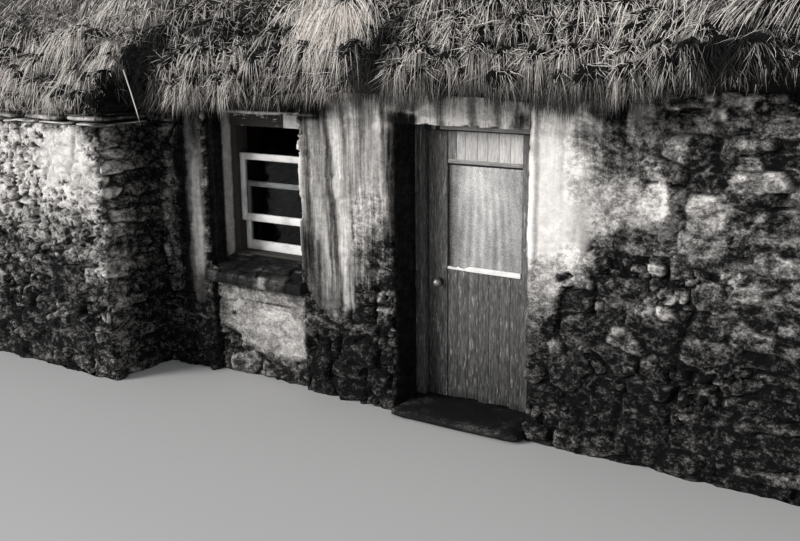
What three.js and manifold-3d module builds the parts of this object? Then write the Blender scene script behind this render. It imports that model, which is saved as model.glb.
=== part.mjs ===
// A thatched rubble cottage: one long low house under a straw roof, with a
// projecting outshot at its left front corner, a half-glazed plank door that
// swings inwards, and small vertical sliding sash windows.
// Units are millimetres. +Z is up and z = 0 is ground level. X runs along the
// front wall, with x = 0 at the middle of the door, and Y runs into the house
// from the face of the front wall.
import * as THREE from 'three';
import { mergeVertices } from 'three/addons/utils/BufferGeometryUtils.js';
import Module from 'manifold-3d';

const wasm = await Module();
wasm.setup();

// Driving dimensions of the house
const GAP = 0.3;
const HOUSE = { left: -5200, right: 4800, front: 0, back: 4900 };
const WALL = 600;
const HEAD = 2100;
const FLOOR_TOP = 40;
const MIDDLE = (HOUSE.front + HOUSE.back) / 2;

// The roof: a straight pitch, the depth of the rafters, and the thatch on them
const PITCH = THREE.MathUtils.degToRad(40);
const RISE = Math.tan(PITCH);
const RAFTER_LINE = HEAD + 20;
const RAFTER_DROP = 117;
const THATCH_RISE = 418;
const VERGE = 120;
const RAFTER_WIDTH = 80;
const COUPLES = [-3800, -2050, -300, 1450, 3200];
const COLLAR = { low: 3200, high: 3280 };
const PLATE = { near: 100, width: 120, height: 70 };
const RIDGE_BOARD = { thick: 60, low: 3970 };
const CROWN = { reach: 330, drop: 100, steps: 5 };

// Each eave's nose leaves the slope at its knee, swells past its pulls and turns in to its tip.
const MAIN_NOSE = { knee: -200, pull: -320, swell: [-430, 2180], tip: [-345, 2000], lip: -20, steps: 7 };
const OUTSHOT_NOSE = { knee: -420, pull: -520, swell: [-640, 1990], tip: -585, steps: 6 };

// The far walls' larger stones stand in and out of the face, this far apart at most and by this much.
const BULGE = { apart: 580, reach: 22, perColumn: 2.4, perRow: 1.3, deeper: 50 };
const LEVEL_PATCH = { y: 2450, z: 1000, half: 700 };

// The outshot
const OUTSHOT = { right: -2500, face: -550, thick: 450, sideThick: 500, rafterToe: 250 };
const FLAGS = { low: 1790, high: 1830, overhang: 50, sideOverhang: 60 };

// The chimney stack on the left gable
const STACK = { near: 2000, far: 2900, seat: 3750, top: 5060, band: 70, bandProud: 40 };
const FLUE = { width: 280, depth: 260, deep: 600 };

// The doorway and its door
const DOORWAY = { left: -484, right: 484, frontRight: 442, rebate: 200, soffit: 1860 };
const THRESHOLD = { front: -100, top: 60 };
const LEAF = { half: 400, low: 66, top: 1798, face: 274, thick: 40, stile: 138, clearance: 5 };
const LEAF_BACK = LEAF.face + LEAF.thick;
const POST_FACE = 235;
const BATTEN = { left: -283, low: 1812, high: 1838, proud: 15 };
const DOOR_RAIL = { low: 1590, high: 1620 };
const STRIP = { low: 922, high: 955, proud: 6 };
const BOARD = { inset: 8, thick: 18 };
const LEDGES = [[260, 360], [822, 922], [1700, 1798]];
const PANE = { inset: 14, thick: 5 };
const KNOB = { x: -315, z: 834, pull: 35, neck: 9, neckLong: 16, swell: 12, reach: 58, spindle: 6, steps: 8 };
const ROSE = { radius: 26, thick: 4 };
const HINGE = { x: 404, y: 326, heights: { bottom: 293, top: 1732 } };
const STRAP = { reach: 330, tall: 34, thick: 5, eye: 11, running: 5.4 };
const PINTLE = { pin: 5, disc: 10, discTall: 14, rise: 44 };
const PINTLE_PLATE = { left: 418, right: 478, below: 60, above: 20 };
const ROUND = 24;

// The windows: masonry opening, then the box frame and its two sashes
const WINDOW = { left: -2056, right: -1196, apronTop: 690, soffit: 1870 };
const APRON_INSET = 60;
const SILL = { front: -66, shoulder: 262, low: 690, nose: 765, rear: 830 };
const BOX = { front: 262, back: 400, jamb: 38, head: 116, cill: 19 };
const SASH = { thick: 35, stile: 42, outerFace: 304, innerFace: 344 };
const UPPER_SASH = { low: 1068, high: 1556, bottomRail: 54, topRail: 46 };
const LOWER_SASH = { low: 850, high: 1350, bottomRail: 68, topRail: 36 };
const GLASS = 3;
const END_WINDOW = { left: 2700, right: 3560 };
const BACK_WINDOW = { left: 900, right: 1560, low: 1000, high: 1640 };
const BACK_LIGHT = { frame: 50, bar: 24, depth: 60, inset: 180 };

const paint = (colour, roughness = 0.9, metalness = 0) =>
  new THREE.MeshStandardMaterial({ color: colour, roughness, metalness });

const LIMEWASH = paint(0xc9c7c0);
const RUBBLE = paint(0x6b6862);
const FLAGSTONE = paint(0x57544e, 0.85);
const THATCH = paint(0x8d8468, 1);
const TIMBER = paint(0x5a4f43);
const WHITE_PAINT = paint(0xd9d7d0, 0.6);
const DOOR_PAINT = paint(0x7e827e, 0.7);
const CLEAR_GLASS = paint(0x9fa8a8, 0.1);
const OBSCURE_GLASS = paint(0xc4c4bc, 0.4);
const IRON = paint(0x34302c, 0.6, 0.8);

const cottage = new THREE.Group();

// Adds one named piece to the cottage.
function piece(name, geometry, material) {
  const mesh = new THREE.Mesh(geometry, material);
  mesh.name = name;
  cottage.add(mesh);
}

// A straight-sided shape from a list of points, with optional holes.
function outline(points, holes = []) {
  const shape = new THREE.Shape(points.map(([u, v]) => new THREE.Vector2(u, v)));
  for (const hole of holes) {
    shape.holes.push(new THREE.Path(hole.map(([u, v]) => new THREE.Vector2(u, v))));
  }
  return shape;
}

const rectangle = (u0, v0, u1, v1) => [[u0, v0], [u1, v0], [u1, v1], [u0, v1]];

function extruded(shape, depth) {
  return new THREE.ExtrudeGeometry(shape, { depth, bevelEnabled: false });
}

// An outline in X and Z, carried through the wall from y0 to y1.
function throughWall(points, y0, y1, holes = []) {
  const turn = new THREE.Matrix4().makeRotationX(Math.PI / 2);
  return extruded(outline(points, holes), y1 - y0).applyMatrix4(turn).translate(0, y1, 0);
}

// An outline in Y and Z, carried along the house from x0 to x1.
function alongHouse(points, x0, x1) {
  const turn = new THREE.Matrix4().makeBasis(
    new THREE.Vector3(0, 1, 0), new THREE.Vector3(0, 0, 1), new THREE.Vector3(1, 0, 0));
  return extruded(outline(points), x1 - x0).applyMatrix4(turn).translate(x0, 0, 0);
}

// A plan in X and Y, raised from z0 to z1.
function raised(points, z0, z1) {
  return extruded(outline(points), z1 - z0).translate(0, 0, z0);
}

function block(x0, x1, y0, y1, z0, z1) {
  return new THREE.BoxGeometry(x1 - x0, y1 - y0, z1 - z0)
    .translate((x0 + x1) / 2, (y0 + y1) / 2, (z0 + z1) / 2);
}

function solid(geometry) {
  const bare = geometry.clone();
  for (const name of Object.keys(bare.attributes)) {
    if (name !== 'position') bare.deleteAttribute(name);
  }
  const merged = mergeVertices(bare, 1e-3);
  return new wasm.Manifold(new wasm.Mesh({
    numProp: 3,
    vertProperties: new Float32Array(merged.attributes.position.array),
    triVerts: new Uint32Array(merged.index.array),
  }));
}

function geometryOf(manifold) {
  const mesh = manifold.getMesh();
  const geometry = new THREE.BufferGeometry();
  geometry.setAttribute('position', new THREE.BufferAttribute(mesh.vertProperties, 3));
  geometry.setIndex(new THREE.BufferAttribute(mesh.triVerts, 1));
  return geometry;
}

const fused = (...parts) => geometryOf(parts.map(solid).reduce((a, b) => a.add(b)));
const cutFrom = (body, ...tools) =>
  geometryOf(tools.reduce((left, tool) => left.subtract(solid(tool)), solid(body)));
const sharedBy = (first, second) => geometryOf(solid(first).intersect(solid(second)));

// The height of the rafters' top line, which falls from the ridge to both eaves.
const rafterTop = (y) => RAFTER_LINE + RISE * Math.min(y, HOUSE.back - y);
const rafterFoot = (z) => (z - RAFTER_LINE + RAFTER_DROP) / RISE;
const mirrored = (points) => points.map(([y, z]) => [HOUSE.back - y, z]);

// Ground works
function addFloor() {
  const left = HOUSE.left + WALL + GAP;
  const right = HOUSE.right - WALL - GAP;
  const near = WALL + GAP;
  const alcoveRight = OUTSHOT.right - OUTSHOT.sideThick - GAP;
  const alcoveFront = OUTSHOT.face + OUTSHOT.thick + GAP;
  const plan = [
    [left, alcoveFront], [alcoveRight, alcoveFront], [alcoveRight, near], [right, near],
    [right, HOUSE.back - WALL - GAP], [left, HOUSE.back - WALL - GAP],
  ];
  piece('floor_flags', raised(plan, 0, FLOOR_TOP), FLAGSTONE);
  piece('threshold', block(DOORWAY.left, DOORWAY.frontRight, THRESHOLD.front, WALL, 0, THRESHOLD.top),
    FLAGSTONE);
}

// The outshot's walls and the thin flags along their heads
function addOutshot() {
  const { right, face, thick, sideThick } = OUTSHOT;
  const inner = face + thick;
  piece('outshot_front_wall', block(HOUSE.left, right, face, inner, 0, FLAGS.low), RUBBLE);
  const side = [
    [inner, 0], [WALL, 0], [WALL, HEAD], [PLATE.near - GAP, HEAD], [0, HEAD], [inner, rafterTop(inner) - GAP],
  ];
  piece('outshot_side_wall', alongHouse(side, right - sideThick, right), RUBBLE);
  piece('coping_flags', block(HOUSE.left - FLAGS.overhang, right + FLAGS.sideOverhang,
    face - FLAGS.overhang, inner, FLAGS.low, FLAGS.high), FLAGSTONE);
}

// The front wall, in its masonry between the openings
function addFrontWall() {
  piece('window_pillar', block(OUTSHOT.right, WINDOW.left, 0, WALL, 0, HEAD), LIMEWASH);
  piece('window_apron', block(WINDOW.left, WINDOW.right, APRON_INSET, WALL, 0, WINDOW.apronTop), LIMEWASH);
  piece('window_lintel', block(WINDOW.left, WINDOW.right, 0, WALL, WINDOW.soffit, HEAD), LIMEWASH);
  piece('front_pier', block(WINDOW.right, DOORWAY.left, 0, WALL, 0, HEAD), LIMEWASH);
  piece('door_lintel', block(DOORWAY.left, DOORWAY.frontRight, 0, WALL, DOORWAY.soffit, HEAD), LIMEWASH);
  const hole = rectangle(END_WINDOW.left, WINDOW.apronTop, END_WINDOW.right, WINDOW.soffit);
  const wall = throughWall(rectangle(DOORWAY.frontRight, 0, HOUSE.right - WALL, HEAD), 0, WALL, [hole]);
  const rebate = block(DOORWAY.frontRight - WALL, DOORWAY.right, DOORWAY.rebate, WALL + GAP, -GAP,
    DOORWAY.soffit);
  const recess = block(END_WINDOW.left, END_WINDOW.right, -GAP, APRON_INSET, -GAP, WINDOW.apronTop + GAP);
  piece('front_wall_right', cutFrom(wall, rebate, recess), LIMEWASH);
}

// A block whose outer face stands in and out between evenly spaced points, and is true round its
// edge and wherever isLevel says. axis is the way that the face looks, outward is 1 or -1 along it.
function bulgedBlock(ranges, axis, outward, isLevel = () => false) {
  const along = axis === 'x' ? 'y' : 'x';
  const [low, high] = ranges[along];
  const [foot, top] = ranges.z;
  const columns = Math.round((high - low) / BULGE.apart);
  const rows = Math.round((top - foot) / BULGE.apart);
  const spans = [ranges.x, ranges.y, ranges.z];
  const lengths = spans.map(([start, end]) => end - start);
  const middles = spans.map(([start, end]) => (start + end) / 2);
  const segments = axis === 'x' ? [1, columns, rows] : [columns, 1, rows];
  const geometry = new THREE.BoxGeometry(...lengths, ...segments).translate(...middles);
  const face = ranges[axis][outward > 0 ? 1 : 0];
  const places = geometry.attributes.position;
  for (let index = 0; index < places.count; index += 1) {
    const point = new THREE.Vector3().fromBufferAttribute(places, index);
    const column = Math.round(((point[along] - low) / (high - low)) * columns);
    const row = Math.round(((point.z - foot) / (top - foot)) * rows);
    const inside = column > 0 && column < columns && row > 0 && row < rows;
    if (inside && Math.abs(point[axis] - face) < GAP && !isLevel(point)) {
      point[axis] += outward * BULGE.reach * Math.sin(BULGE.perColumn * column + BULGE.perRow * row);
      places.setXYZ(index, point.x, point.y, point.z);
    }
  }
  return geometry;
}

function addBackWall() {
  const { left, right, low, high } = BACK_WINDOW;
  const hole = rectangle(left, low, right, high);
  const ends = [HOUSE.left + WALL, HOUSE.right - WALL];
  const inner = HOUSE.back - WALL;
  const body = throughWall(rectangle(ends[0], 0, ends[1], HEAD), inner, HOUSE.back + BULGE.reach, [hole]);
  const ranges = { x: ends, y: [inner - BULGE.deeper, HOUSE.back], z: [0, HEAD] };
  piece('back_wall', sharedBy(body, bulgedBlock(ranges, 'y', 1)), RUBBLE);
}

// Both gables follow the rafters' line, and the left one is flat under its stack.
function addGables() {
  const front = OUTSHOT.face + OUTSHOT.thick;
  const seatAt = (STACK.seat - RAFTER_LINE) / RISE;
  const eave = [[0, HEAD], [PLATE.near, HEAD], [PLATE.near, rafterTop(PLATE.near) - GAP]];
  const backEave = mirrored(eave);
  const left = [
    [front, 0], [HOUSE.back, 0], ...backEave, [HOUSE.back - seatAt, STACK.seat - GAP],
    [seatAt, STACK.seat - GAP], [front, rafterTop(front) - GAP],
  ];
  const right = [
    [0, 0], [HOUSE.back, 0], ...backEave, [MIDDLE, rafterTop(MIDDLE) - GAP], ...eave.toReversed(),
  ];
  const leftInner = HOUSE.left + WALL;
  const rightInner = HOUSE.right - WALL;
  const leftRanges = {
    x: [HOUSE.left, leftInner + BULGE.deeper], y: [front, HOUSE.back], z: [0, STACK.seat - GAP],
  };
  const rightRanges = {
    x: [rightInner - BULGE.deeper, HOUSE.right], y: [0, HOUSE.back], z: [0, rafterTop(MIDDLE) - GAP],
  };
  const nearPatch = ({ y, z }) =>
    Math.abs(y - LEVEL_PATCH.y) < LEVEL_PATCH.half && Math.abs(z - LEVEL_PATCH.z) < LEVEL_PATCH.half;
  piece('gable_left', sharedBy(alongHouse(left, HOUSE.left - BULGE.reach, leftInner),
    bulgedBlock(leftRanges, 'x', -1)), RUBBLE);
  piece('gable_right', sharedBy(alongHouse(right, rightInner, HOUSE.right + BULGE.reach),
    bulgedBlock(rightRanges, 'x', 1, nearPatch)), RUBBLE);
}

// The stack has a projecting band round its head and a flue open at the top.
function addStack() {
  const { near, far, seat, top, band, bandProud } = STACK;
  const x0 = HOUSE.left;
  const x1 = HOUSE.left + WALL;
  const shaft = block(x0, x1, near, far, seat, top - band / 2);
  const crown = block(x0 - bandProud, x1 + bandProud, near - bandProud, far + bandProud, top - band, top);
  const stack = fused(shaft, crown);
  const flue = block((x0 + x1 - FLUE.depth) / 2, (x0 + x1 + FLUE.depth) / 2,
    MIDDLE - FLUE.width / 2, MIDDLE + FLUE.width / 2, top - FLUE.deep, top + band);
  piece('chimney_stack', cutFrom(stack, flue), RUBBLE);
}

// One A-shaped couple, traced as a single outline round the ridge board's gap.
function coupleOutline(longFoot) {
  const boardSide = MIDDLE - RIDGE_BOARD.thick / 2 - GAP;
  const under = (y) => rafterTop(y) - RAFTER_DROP;
  const seat = (longFoot ? FLAGS.high : HEAD + PLATE.height) + GAP;
  const toe = longFoot ? OUTSHOT.face + OUTSHOT.rafterToe : PLATE.near;
  const backSeat = HEAD + PLATE.height + GAP;
  const lowRight = [
    [HOUSE.back - rafterFoot(COLLAR.low), COLLAR.low], [HOUSE.back - rafterFoot(backSeat), backSeat],
    [HOUSE.back - PLATE.near, backSeat], [HOUSE.back - PLATE.near, rafterTop(PLATE.near)],
  ];
  const upper = [
    [HOUSE.back - boardSide, rafterTop(boardSide)], [HOUSE.back - boardSide, under(boardSide)],
    [HOUSE.back - rafterFoot(COLLAR.high), COLLAR.high], [rafterFoot(COLLAR.high), COLLAR.high],
    [boardSide, under(boardSide)], [boardSide, rafterTop(boardSide)],
  ];
  const front = [
    [toe, rafterTop(toe)], [toe, seat], [rafterFoot(seat), seat], [rafterFoot(COLLAR.low), COLLAR.low],
  ];
  return [...front, ...lowRight, ...upper];
}

function addTimbers() {
  COUPLES.forEach((x, index) => {
    const outlineOfOne = coupleOutline(x < OUTSHOT.right - OUTSHOT.sideThick);
    piece(`rafter_couple_${index + 1}`,
      alongHouse(outlineOfOne, x - RAFTER_WIDTH / 2, x + RAFTER_WIDTH / 2), TIMBER);
  });
  const half = RIDGE_BOARD.thick / 2;
  const start = HOUSE.left + WALL + GAP;
  const end = HOUSE.right - WALL - GAP;
  piece('ridge_board', block(start, end, MIDDLE - half, MIDDLE + half, RIDGE_BOARD.low,
    rafterTop(MIDDLE - half)), TIMBER);
  const plate = (name, x0, y0) =>
    piece(name, block(x0, end, y0, y0 + PLATE.width, HEAD, HEAD + PLATE.height), TIMBER);
  plate('wall_plate_front', OUTSHOT.right - OUTSHOT.sideThick, PLATE.near);
  plate('wall_plate_back', start, HOUSE.back - PLATE.near - PLATE.width);
}

// A cubic curve through the section, given by its ends and its two pulls.
function bend(start, pullOut, pullIn, end, steps) {
  const curve = new THREE.CubicBezierCurve(
    new THREE.Vector2(...start), new THREE.Vector2(...pullOut),
    new THREE.Vector2(...pullIn), new THREE.Vector2(...end));
  return curve.getPoints(steps).map((p) => [p.x, p.y]);
}

const slopeTop = (y) => rafterTop(y) + THATCH_RISE;

// The ridge rounds over to a level crown at the seam between the two slopes.
function crownOfSlope() {
  const seam = MIDDLE - GAP / 2;
  const level = slopeTop(seam) - CROWN.drop;
  const knee = seam - CROWN.drop / RISE;
  const foot = seam - CROWN.reach;
  return bend([seam, level], [knee, level], [knee, level], [foot, slopeTop(foot)], CROWN.steps);
}

const onSlope = (y) => [y, slopeTop(y)];

// The main slope fills the wall head outside the plate and hangs past the wall.
function mainSlope() {
  const { knee, pull, swell, tip, lip, steps } = MAIN_NOSE;
  const seam = MIDDLE - GAP / 2;
  const inner = PLATE.near - GAP;
  return [
    [seam, rafterTop(seam) + GAP], ...crownOfSlope(),
    ...bend(onSlope(knee), onSlope(pull), swell, tip, steps),
    [lip, HEAD + GAP], [inner, HEAD + GAP], [inner, rafterTop(inner) + GAP],
  ];
}

// Over the outshot the slope runs on down to the coping flags.
function outshotSlope() {
  const { knee, pull, swell, tip, steps } = OUTSHOT_NOSE;
  const seam = MIDDLE - GAP / 2;
  const rest = FLAGS.high + GAP;
  const lift = (FLAGS.high - RAFTER_LINE) / RISE;
  return [
    [seam, rafterTop(seam) + GAP], ...crownOfSlope(),
    ...bend(onSlope(knee), onSlope(pull), swell, [tip, rest], steps),
    [lift, rest],
  ];
}

function addThatch() {
  const split = OUTSHOT.right + FLAGS.sideOverhang;
  const start = HOUSE.left - VERGE;
  const end = HOUSE.right + VERGE;
  const notch = block(start - GAP, HOUSE.left + WALL + GAP, STACK.near - GAP, STACK.far + GAP,
    STACK.seat - WALL, STACK.top);
  piece('thatch_outshot', cutFrom(alongHouse(outshotSlope(), start, split), notch), THATCH);
  piece('thatch_front', alongHouse(mainSlope(), split, end), THATCH);
  piece('thatch_back', cutFrom(alongHouse(mirrored(mainSlope()), start, end), notch), THATCH);
}

// One sash is stiles and rails round a single pane.
function sash(x0, x1, face, { low, high, bottomRail, topRail }) {
  const clear = rectangle(x0 + SASH.stile, low + bottomRail, x1 - SASH.stile, high - topRail);
  return throughWall(rectangle(x0, low, x1, high), face, face + SASH.thick, [clear]);
}

function sashPane(x0, x1, face, { low, high, bottomRail, topRail }) {
  const middle = face + SASH.thick / 2;
  return block(x0 + SASH.stile + GAP, x1 - SASH.stile - GAP, middle - GLASS / 2, middle + GLASS / 2,
    low + bottomRail + GAP, high - topRail - GAP);
}

// The box frame stands on the sill's level back half.
function boxFrame({ left, right }) {
  const low = SILL.rear + GAP;
  const high = WINDOW.soffit - GAP;
  const clear = rectangle(left + BOX.jamb, low + BOX.cill, right - BOX.jamb, high - BOX.head);
  return throughWall(rectangle(left, low, right, high), BOX.front, BOX.back, [clear]);
}

function sill({ left, right }) {
  const profile = [
    [SILL.front, SILL.low], [WALL, SILL.low], [WALL, SILL.rear], [SILL.shoulder, SILL.rear],
    [SILL.front, SILL.nose],
  ];
  return alongHouse(profile, left, right);
}

// The window by the door: its outer sash has slipped down and left a gap above.
function addWindow() {
  const x0 = WINDOW.left + BOX.jamb + GAP;
  const x1 = WINDOW.right - BOX.jamb - GAP;
  piece('window_sill', sill(WINDOW), FLAGSTONE);
  piece('window_frame', boxFrame(WINDOW), WHITE_PAINT);
  piece('window_upper_sash', sash(x0, x1, SASH.outerFace, UPPER_SASH), WHITE_PAINT);
  piece('window_lower_sash', sash(x0, x1, SASH.innerFace, LOWER_SASH), WHITE_PAINT);
  piece('window_upper_pane', sashPane(x0, x1, SASH.outerFace, UPPER_SASH), CLEAR_GLASS);
  piece('window_lower_pane', sashPane(x0, x1, SASH.innerFace, LOWER_SASH), CLEAR_GLASS);
}

// The window at the far end is shut, and its frame and sashes are one piece.
function addEndWindow() {
  const x0 = END_WINDOW.left + BOX.jamb - GAP;
  const x1 = END_WINDOW.right - BOX.jamb + GAP;
  const shutTop = WINDOW.soffit - BOX.head;
  const upper = { ...UPPER_SASH, low: shutTop - (UPPER_SASH.high - UPPER_SASH.low), high: shutTop };
  const lower = { ...LOWER_SASH, low: SILL.rear + BOX.cill, high: upper.low + upper.bottomRail };
  piece('end_window_sill', sill(END_WINDOW), FLAGSTONE);
  piece('end_window_frame', fused(boxFrame(END_WINDOW), sash(x0, x1, SASH.outerFace, upper),
    sash(x0, x1, SASH.innerFace, lower)), WHITE_PAINT);
  piece('end_window_upper_pane', sashPane(x0, x1, SASH.outerFace, upper), CLEAR_GLASS);
  piece('end_window_lower_pane', sashPane(x0, x1, SASH.innerFace, lower), CLEAR_GLASS);
}

// The back window is a small fixed light of four panes, glazed with one sheet.
function addBackWindow() {
  const { left, right, low, high } = BACK_WINDOW;
  const { frame, bar, depth, inset } = BACK_LIGHT;
  const middleX = (left + right) / 2;
  const middleZ = (low + high) / 2;
  const columns = [[left + frame, middleX - bar / 2], [middleX + bar / 2, right - frame]];
  const rows = [[low + frame, middleZ - bar / 2], [middleZ + bar / 2, high - frame]];
  const face = HOUSE.back - inset;
  const lights = columns.flatMap(([x0, x1]) =>
    rows.map(([z0, z1]) => block(x0, x1, face - depth - GAP, face + GAP, z0, z1)));
  piece('back_window_frame', cutFrom(block(left, right, face - depth, face, low, high), ...lights),
    WHITE_PAINT);
  piece('back_window_pane', block(left + frame / 2, right - frame / 2, face - depth - GLASS - GAP,
    face - depth - GAP, low + frame / 2, high - frame / 2), CLEAR_GLASS);
}

const upright = (x, y, z0, z1, radius) =>
  new THREE.CylinderGeometry(radius, radius, z1 - z0, ROUND)
    .rotateX(Math.PI / 2).translate(x, y, (z0 + z1) / 2);
const across = (x, z, y0, y1, radius) =>
  new THREE.CylinderGeometry(radius, radius, y1 - y0, ROUND).translate(x, (y0 + y1) / 2, z);

// Two posts and a head, with a batten nailed across the head.
function addDoorFrame() {
  const clear = LEAF.half + LEAF.clearance;
  const head = LEAF.top + LEAF.clearance;
  const foot = THRESHOLD.top + GAP;
  const top = DOORWAY.soffit - GAP;
  const hoop = [
    [DOORWAY.left, foot], [-clear, foot], [-clear, head], [clear, head], [clear, foot],
    [DOORWAY.right, foot], [DOORWAY.right, top], [DOORWAY.left, top],
  ];
  const batten = block(BATTEN.left, clear, POST_FACE - BATTEN.proud, POST_FACE + GAP, BATTEN.low,
    BATTEN.high);
  piece('door_frame', fused(throughWall(hoop, POST_FACE, LEAF_BACK), batten), DOOR_PAINT);
}

// The leaf: two wide stiles, a thin rail over the pane and ledges at the back
function addLeaf() {
  const { half, low, top, face, stile } = LEAF;
  const inner = half - stile;
  const boardBack = face + BOARD.inset + BOARD.thick;
  const stileBlock = (x0) => block(x0, x0 + stile, face, LEAF_BACK, low, top);
  const rail = block(-inner - GAP, inner + GAP, face, LEAF_BACK, DOOR_RAIL.low, DOOR_RAIL.high);
  const ledges = LEDGES.map(([z0, z1]) => block(-inner - GAP, inner + GAP, boardBack, LEAF_BACK, z0, z1));
  const roses = [[face - ROSE.thick, face + GAP], [LEAF_BACK - GAP, LEAF_BACK + ROSE.thick]]
    .map(([y0, y1]) => across(KNOB.x, KNOB.z, y0, y1, ROSE.radius));
  const bore = across(KNOB.x, KNOB.z, face - ROSE.thick - GAP, LEAF_BACK + ROSE.thick + GAP,
    KNOB.spindle + 2 * GAP);
  const leaf = fused(stileBlock(-half), stileBlock(inner), rail, ...ledges, ...roses);
  piece('door_leaf', cutFrom(leaf, bore), DOOR_PAINT);

  const boards = (name, z0, z1) =>
    piece(name, block(-inner + GAP, inner - GAP, face + BOARD.inset, boardBack - GAP, z0, z1), DOOR_PAINT);
  boards('door_upper_boards', DOOR_RAIL.high + GAP, top);
  boards('door_lower_boards', low, STRIP.low - GAP);
  const paneFace = face + PANE.inset;
  piece('door_pane', block(-inner + GAP, inner - GAP, paneFace, paneFace + PANE.thick, STRIP.low + GAP,
    DOOR_RAIL.low - GAP), OBSCURE_GLASS);
  piece('door_strip', block(-inner + GAP, inner - GAP, face - STRIP.proud, paneFace - GAP, STRIP.low + GAP,
    STRIP.high), WHITE_PAINT);
}

// The knob: a turned ball on each face, joined by the spindle
function addKnob() {
  const { pull, neck, neckLong, swell, reach, spindle, steps } = KNOB;
  const half = LEAF.thick / 2 + ROSE.thick + GAP;
  const end = half + reach;
  const ball = bend([neck, half + neckLong], [pull, half + swell], [pull, end], [0, end], steps);
  const side = [[spindle, half], [neck, half], ...ball];
  const farSide = side.map(([r, y]) => [r, -y]).reverse();
  const profile = [...farSide, ...side].map(([r, y]) => new THREE.Vector2(r, y));
  piece('door_knob', new THREE.LatheGeometry(profile, ROUND)
    .translate(KNOB.x, LEAF.face + LEAF.thick / 2, KNOB.z), IRON);
}

// Each hinge is a long strap with an eye that drops over a pin on the post.
function addHinge(name, z) {
  const { x, y } = HINGE;
  const high = z + STRAP.tall;
  const ring = fused(upright(x, y, z, high, STRAP.eye),
    block(x - STRAP.reach, x, LEAF_BACK + GAP, LEAF_BACK + STRAP.thick, z, high));
  piece(`hinge_strap_${name}`, cutFrom(ring, upright(x, y, z - GAP, high + GAP, STRAP.running)), IRON);
  const seat = z - GAP;
  const low = seat - PINTLE.discTall;
  const { left, right, below, above } = PINTLE_PLATE;
  const arm = block(x, left + STRAP.thick, LEAF_BACK + GAP, y + PINTLE.disc / 2, low, seat);
  const plate = block(left, right, LEAF_BACK, LEAF_BACK + STRAP.thick, z - below, z + above);
  piece(`hinge_pintle_${name}`, fused(upright(x, y, low, seat, PINTLE.disc),
    upright(x, y, low, z + PINTLE.rise, PINTLE.pin), arm, plate), IRON);
}

addFloor();
addOutshot();
addFrontWall();
addBackWall();
addGables();
addStack();
addTimbers();
addThatch();
addWindow();
addEndWindow();
addBackWindow();
addDoorFrame();
addLeaf();
addKnob();
addHinge('bottom', HINGE.heights.bottom);
addHinge('top', HINGE.heights.top);

export default cottage;
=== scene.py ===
# A thatched rubble cottage: limewashed front, slipped sash window, half-glazed plank door.
# Units are metres. X runs along the front wall, Y runs into the house and Z is up.
import math

import bpy
import numpy as np
from mathutils import Matrix, Vector


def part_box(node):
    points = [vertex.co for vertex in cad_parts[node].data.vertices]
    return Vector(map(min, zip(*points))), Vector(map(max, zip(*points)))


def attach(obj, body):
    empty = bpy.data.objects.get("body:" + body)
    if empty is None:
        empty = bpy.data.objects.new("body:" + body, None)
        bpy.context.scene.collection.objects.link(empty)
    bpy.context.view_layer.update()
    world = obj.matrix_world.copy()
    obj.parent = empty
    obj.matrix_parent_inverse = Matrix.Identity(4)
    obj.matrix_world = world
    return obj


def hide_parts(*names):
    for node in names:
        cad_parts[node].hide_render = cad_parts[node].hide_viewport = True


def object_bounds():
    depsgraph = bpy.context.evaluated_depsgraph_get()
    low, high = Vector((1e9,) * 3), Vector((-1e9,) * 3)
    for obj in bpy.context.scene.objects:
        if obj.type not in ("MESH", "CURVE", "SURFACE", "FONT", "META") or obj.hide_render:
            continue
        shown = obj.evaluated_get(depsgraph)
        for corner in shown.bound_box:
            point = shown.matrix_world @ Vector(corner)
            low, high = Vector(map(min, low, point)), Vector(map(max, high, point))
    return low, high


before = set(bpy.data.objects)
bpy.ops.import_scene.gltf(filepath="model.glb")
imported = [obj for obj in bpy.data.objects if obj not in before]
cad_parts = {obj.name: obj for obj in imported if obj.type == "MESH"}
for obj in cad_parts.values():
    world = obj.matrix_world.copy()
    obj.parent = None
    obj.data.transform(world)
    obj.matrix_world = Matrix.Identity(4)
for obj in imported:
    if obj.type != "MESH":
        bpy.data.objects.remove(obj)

CAD_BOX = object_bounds()

# Mesh spacings: near the door and window, on the far walls, and on faces that nothing shows
FINE = 0.013
MEDIUM = 0.034
HIDDEN = 0.15
# The stretch of the front that the photograph shows closely, and a place beyond every wall
FINE_FROM = -3.75
FINE_TO = 2.05
BEYOND = 9.0
# Points nearer than this to a plane lie on it
TOUCH = 0.001

# The roof, as the frame has it
PITCH = math.tan(math.radians(40))
DEPTH = 4.9
HEAD = 2.1
RAFTER_LIFT = 0.02
THATCH_RISE = 0.418
CROWN_REACH = 0.33
CROWN_DROP = 0.1

DOWN = np.array([0.0, 0.0, -1.0])


# Number work: smooth steps, hashed lattices and noise
def smooth(low, high, value):
    """0 below low, 1 above high and an S-curve between; low may be the larger."""
    t = np.clip((value - low) / (high - low), 0, 1)
    return t * t * (3 - 2 * t)


def mixed(first, second, share):
    """first where share is 0, second where it is 1."""
    return first + (second - first) * share


# The hash's multipliers, which are large and odd, and the largest number that it keeps
HASH_COLUMN = np.uint32(374761393)
HASH_ROW = np.uint32(668265263)
HASH_FIRST = np.uint32(1274126177)
HASH_SECOND = np.uint32(2246822519)
HASH_TOP = 0xFFFF


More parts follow.
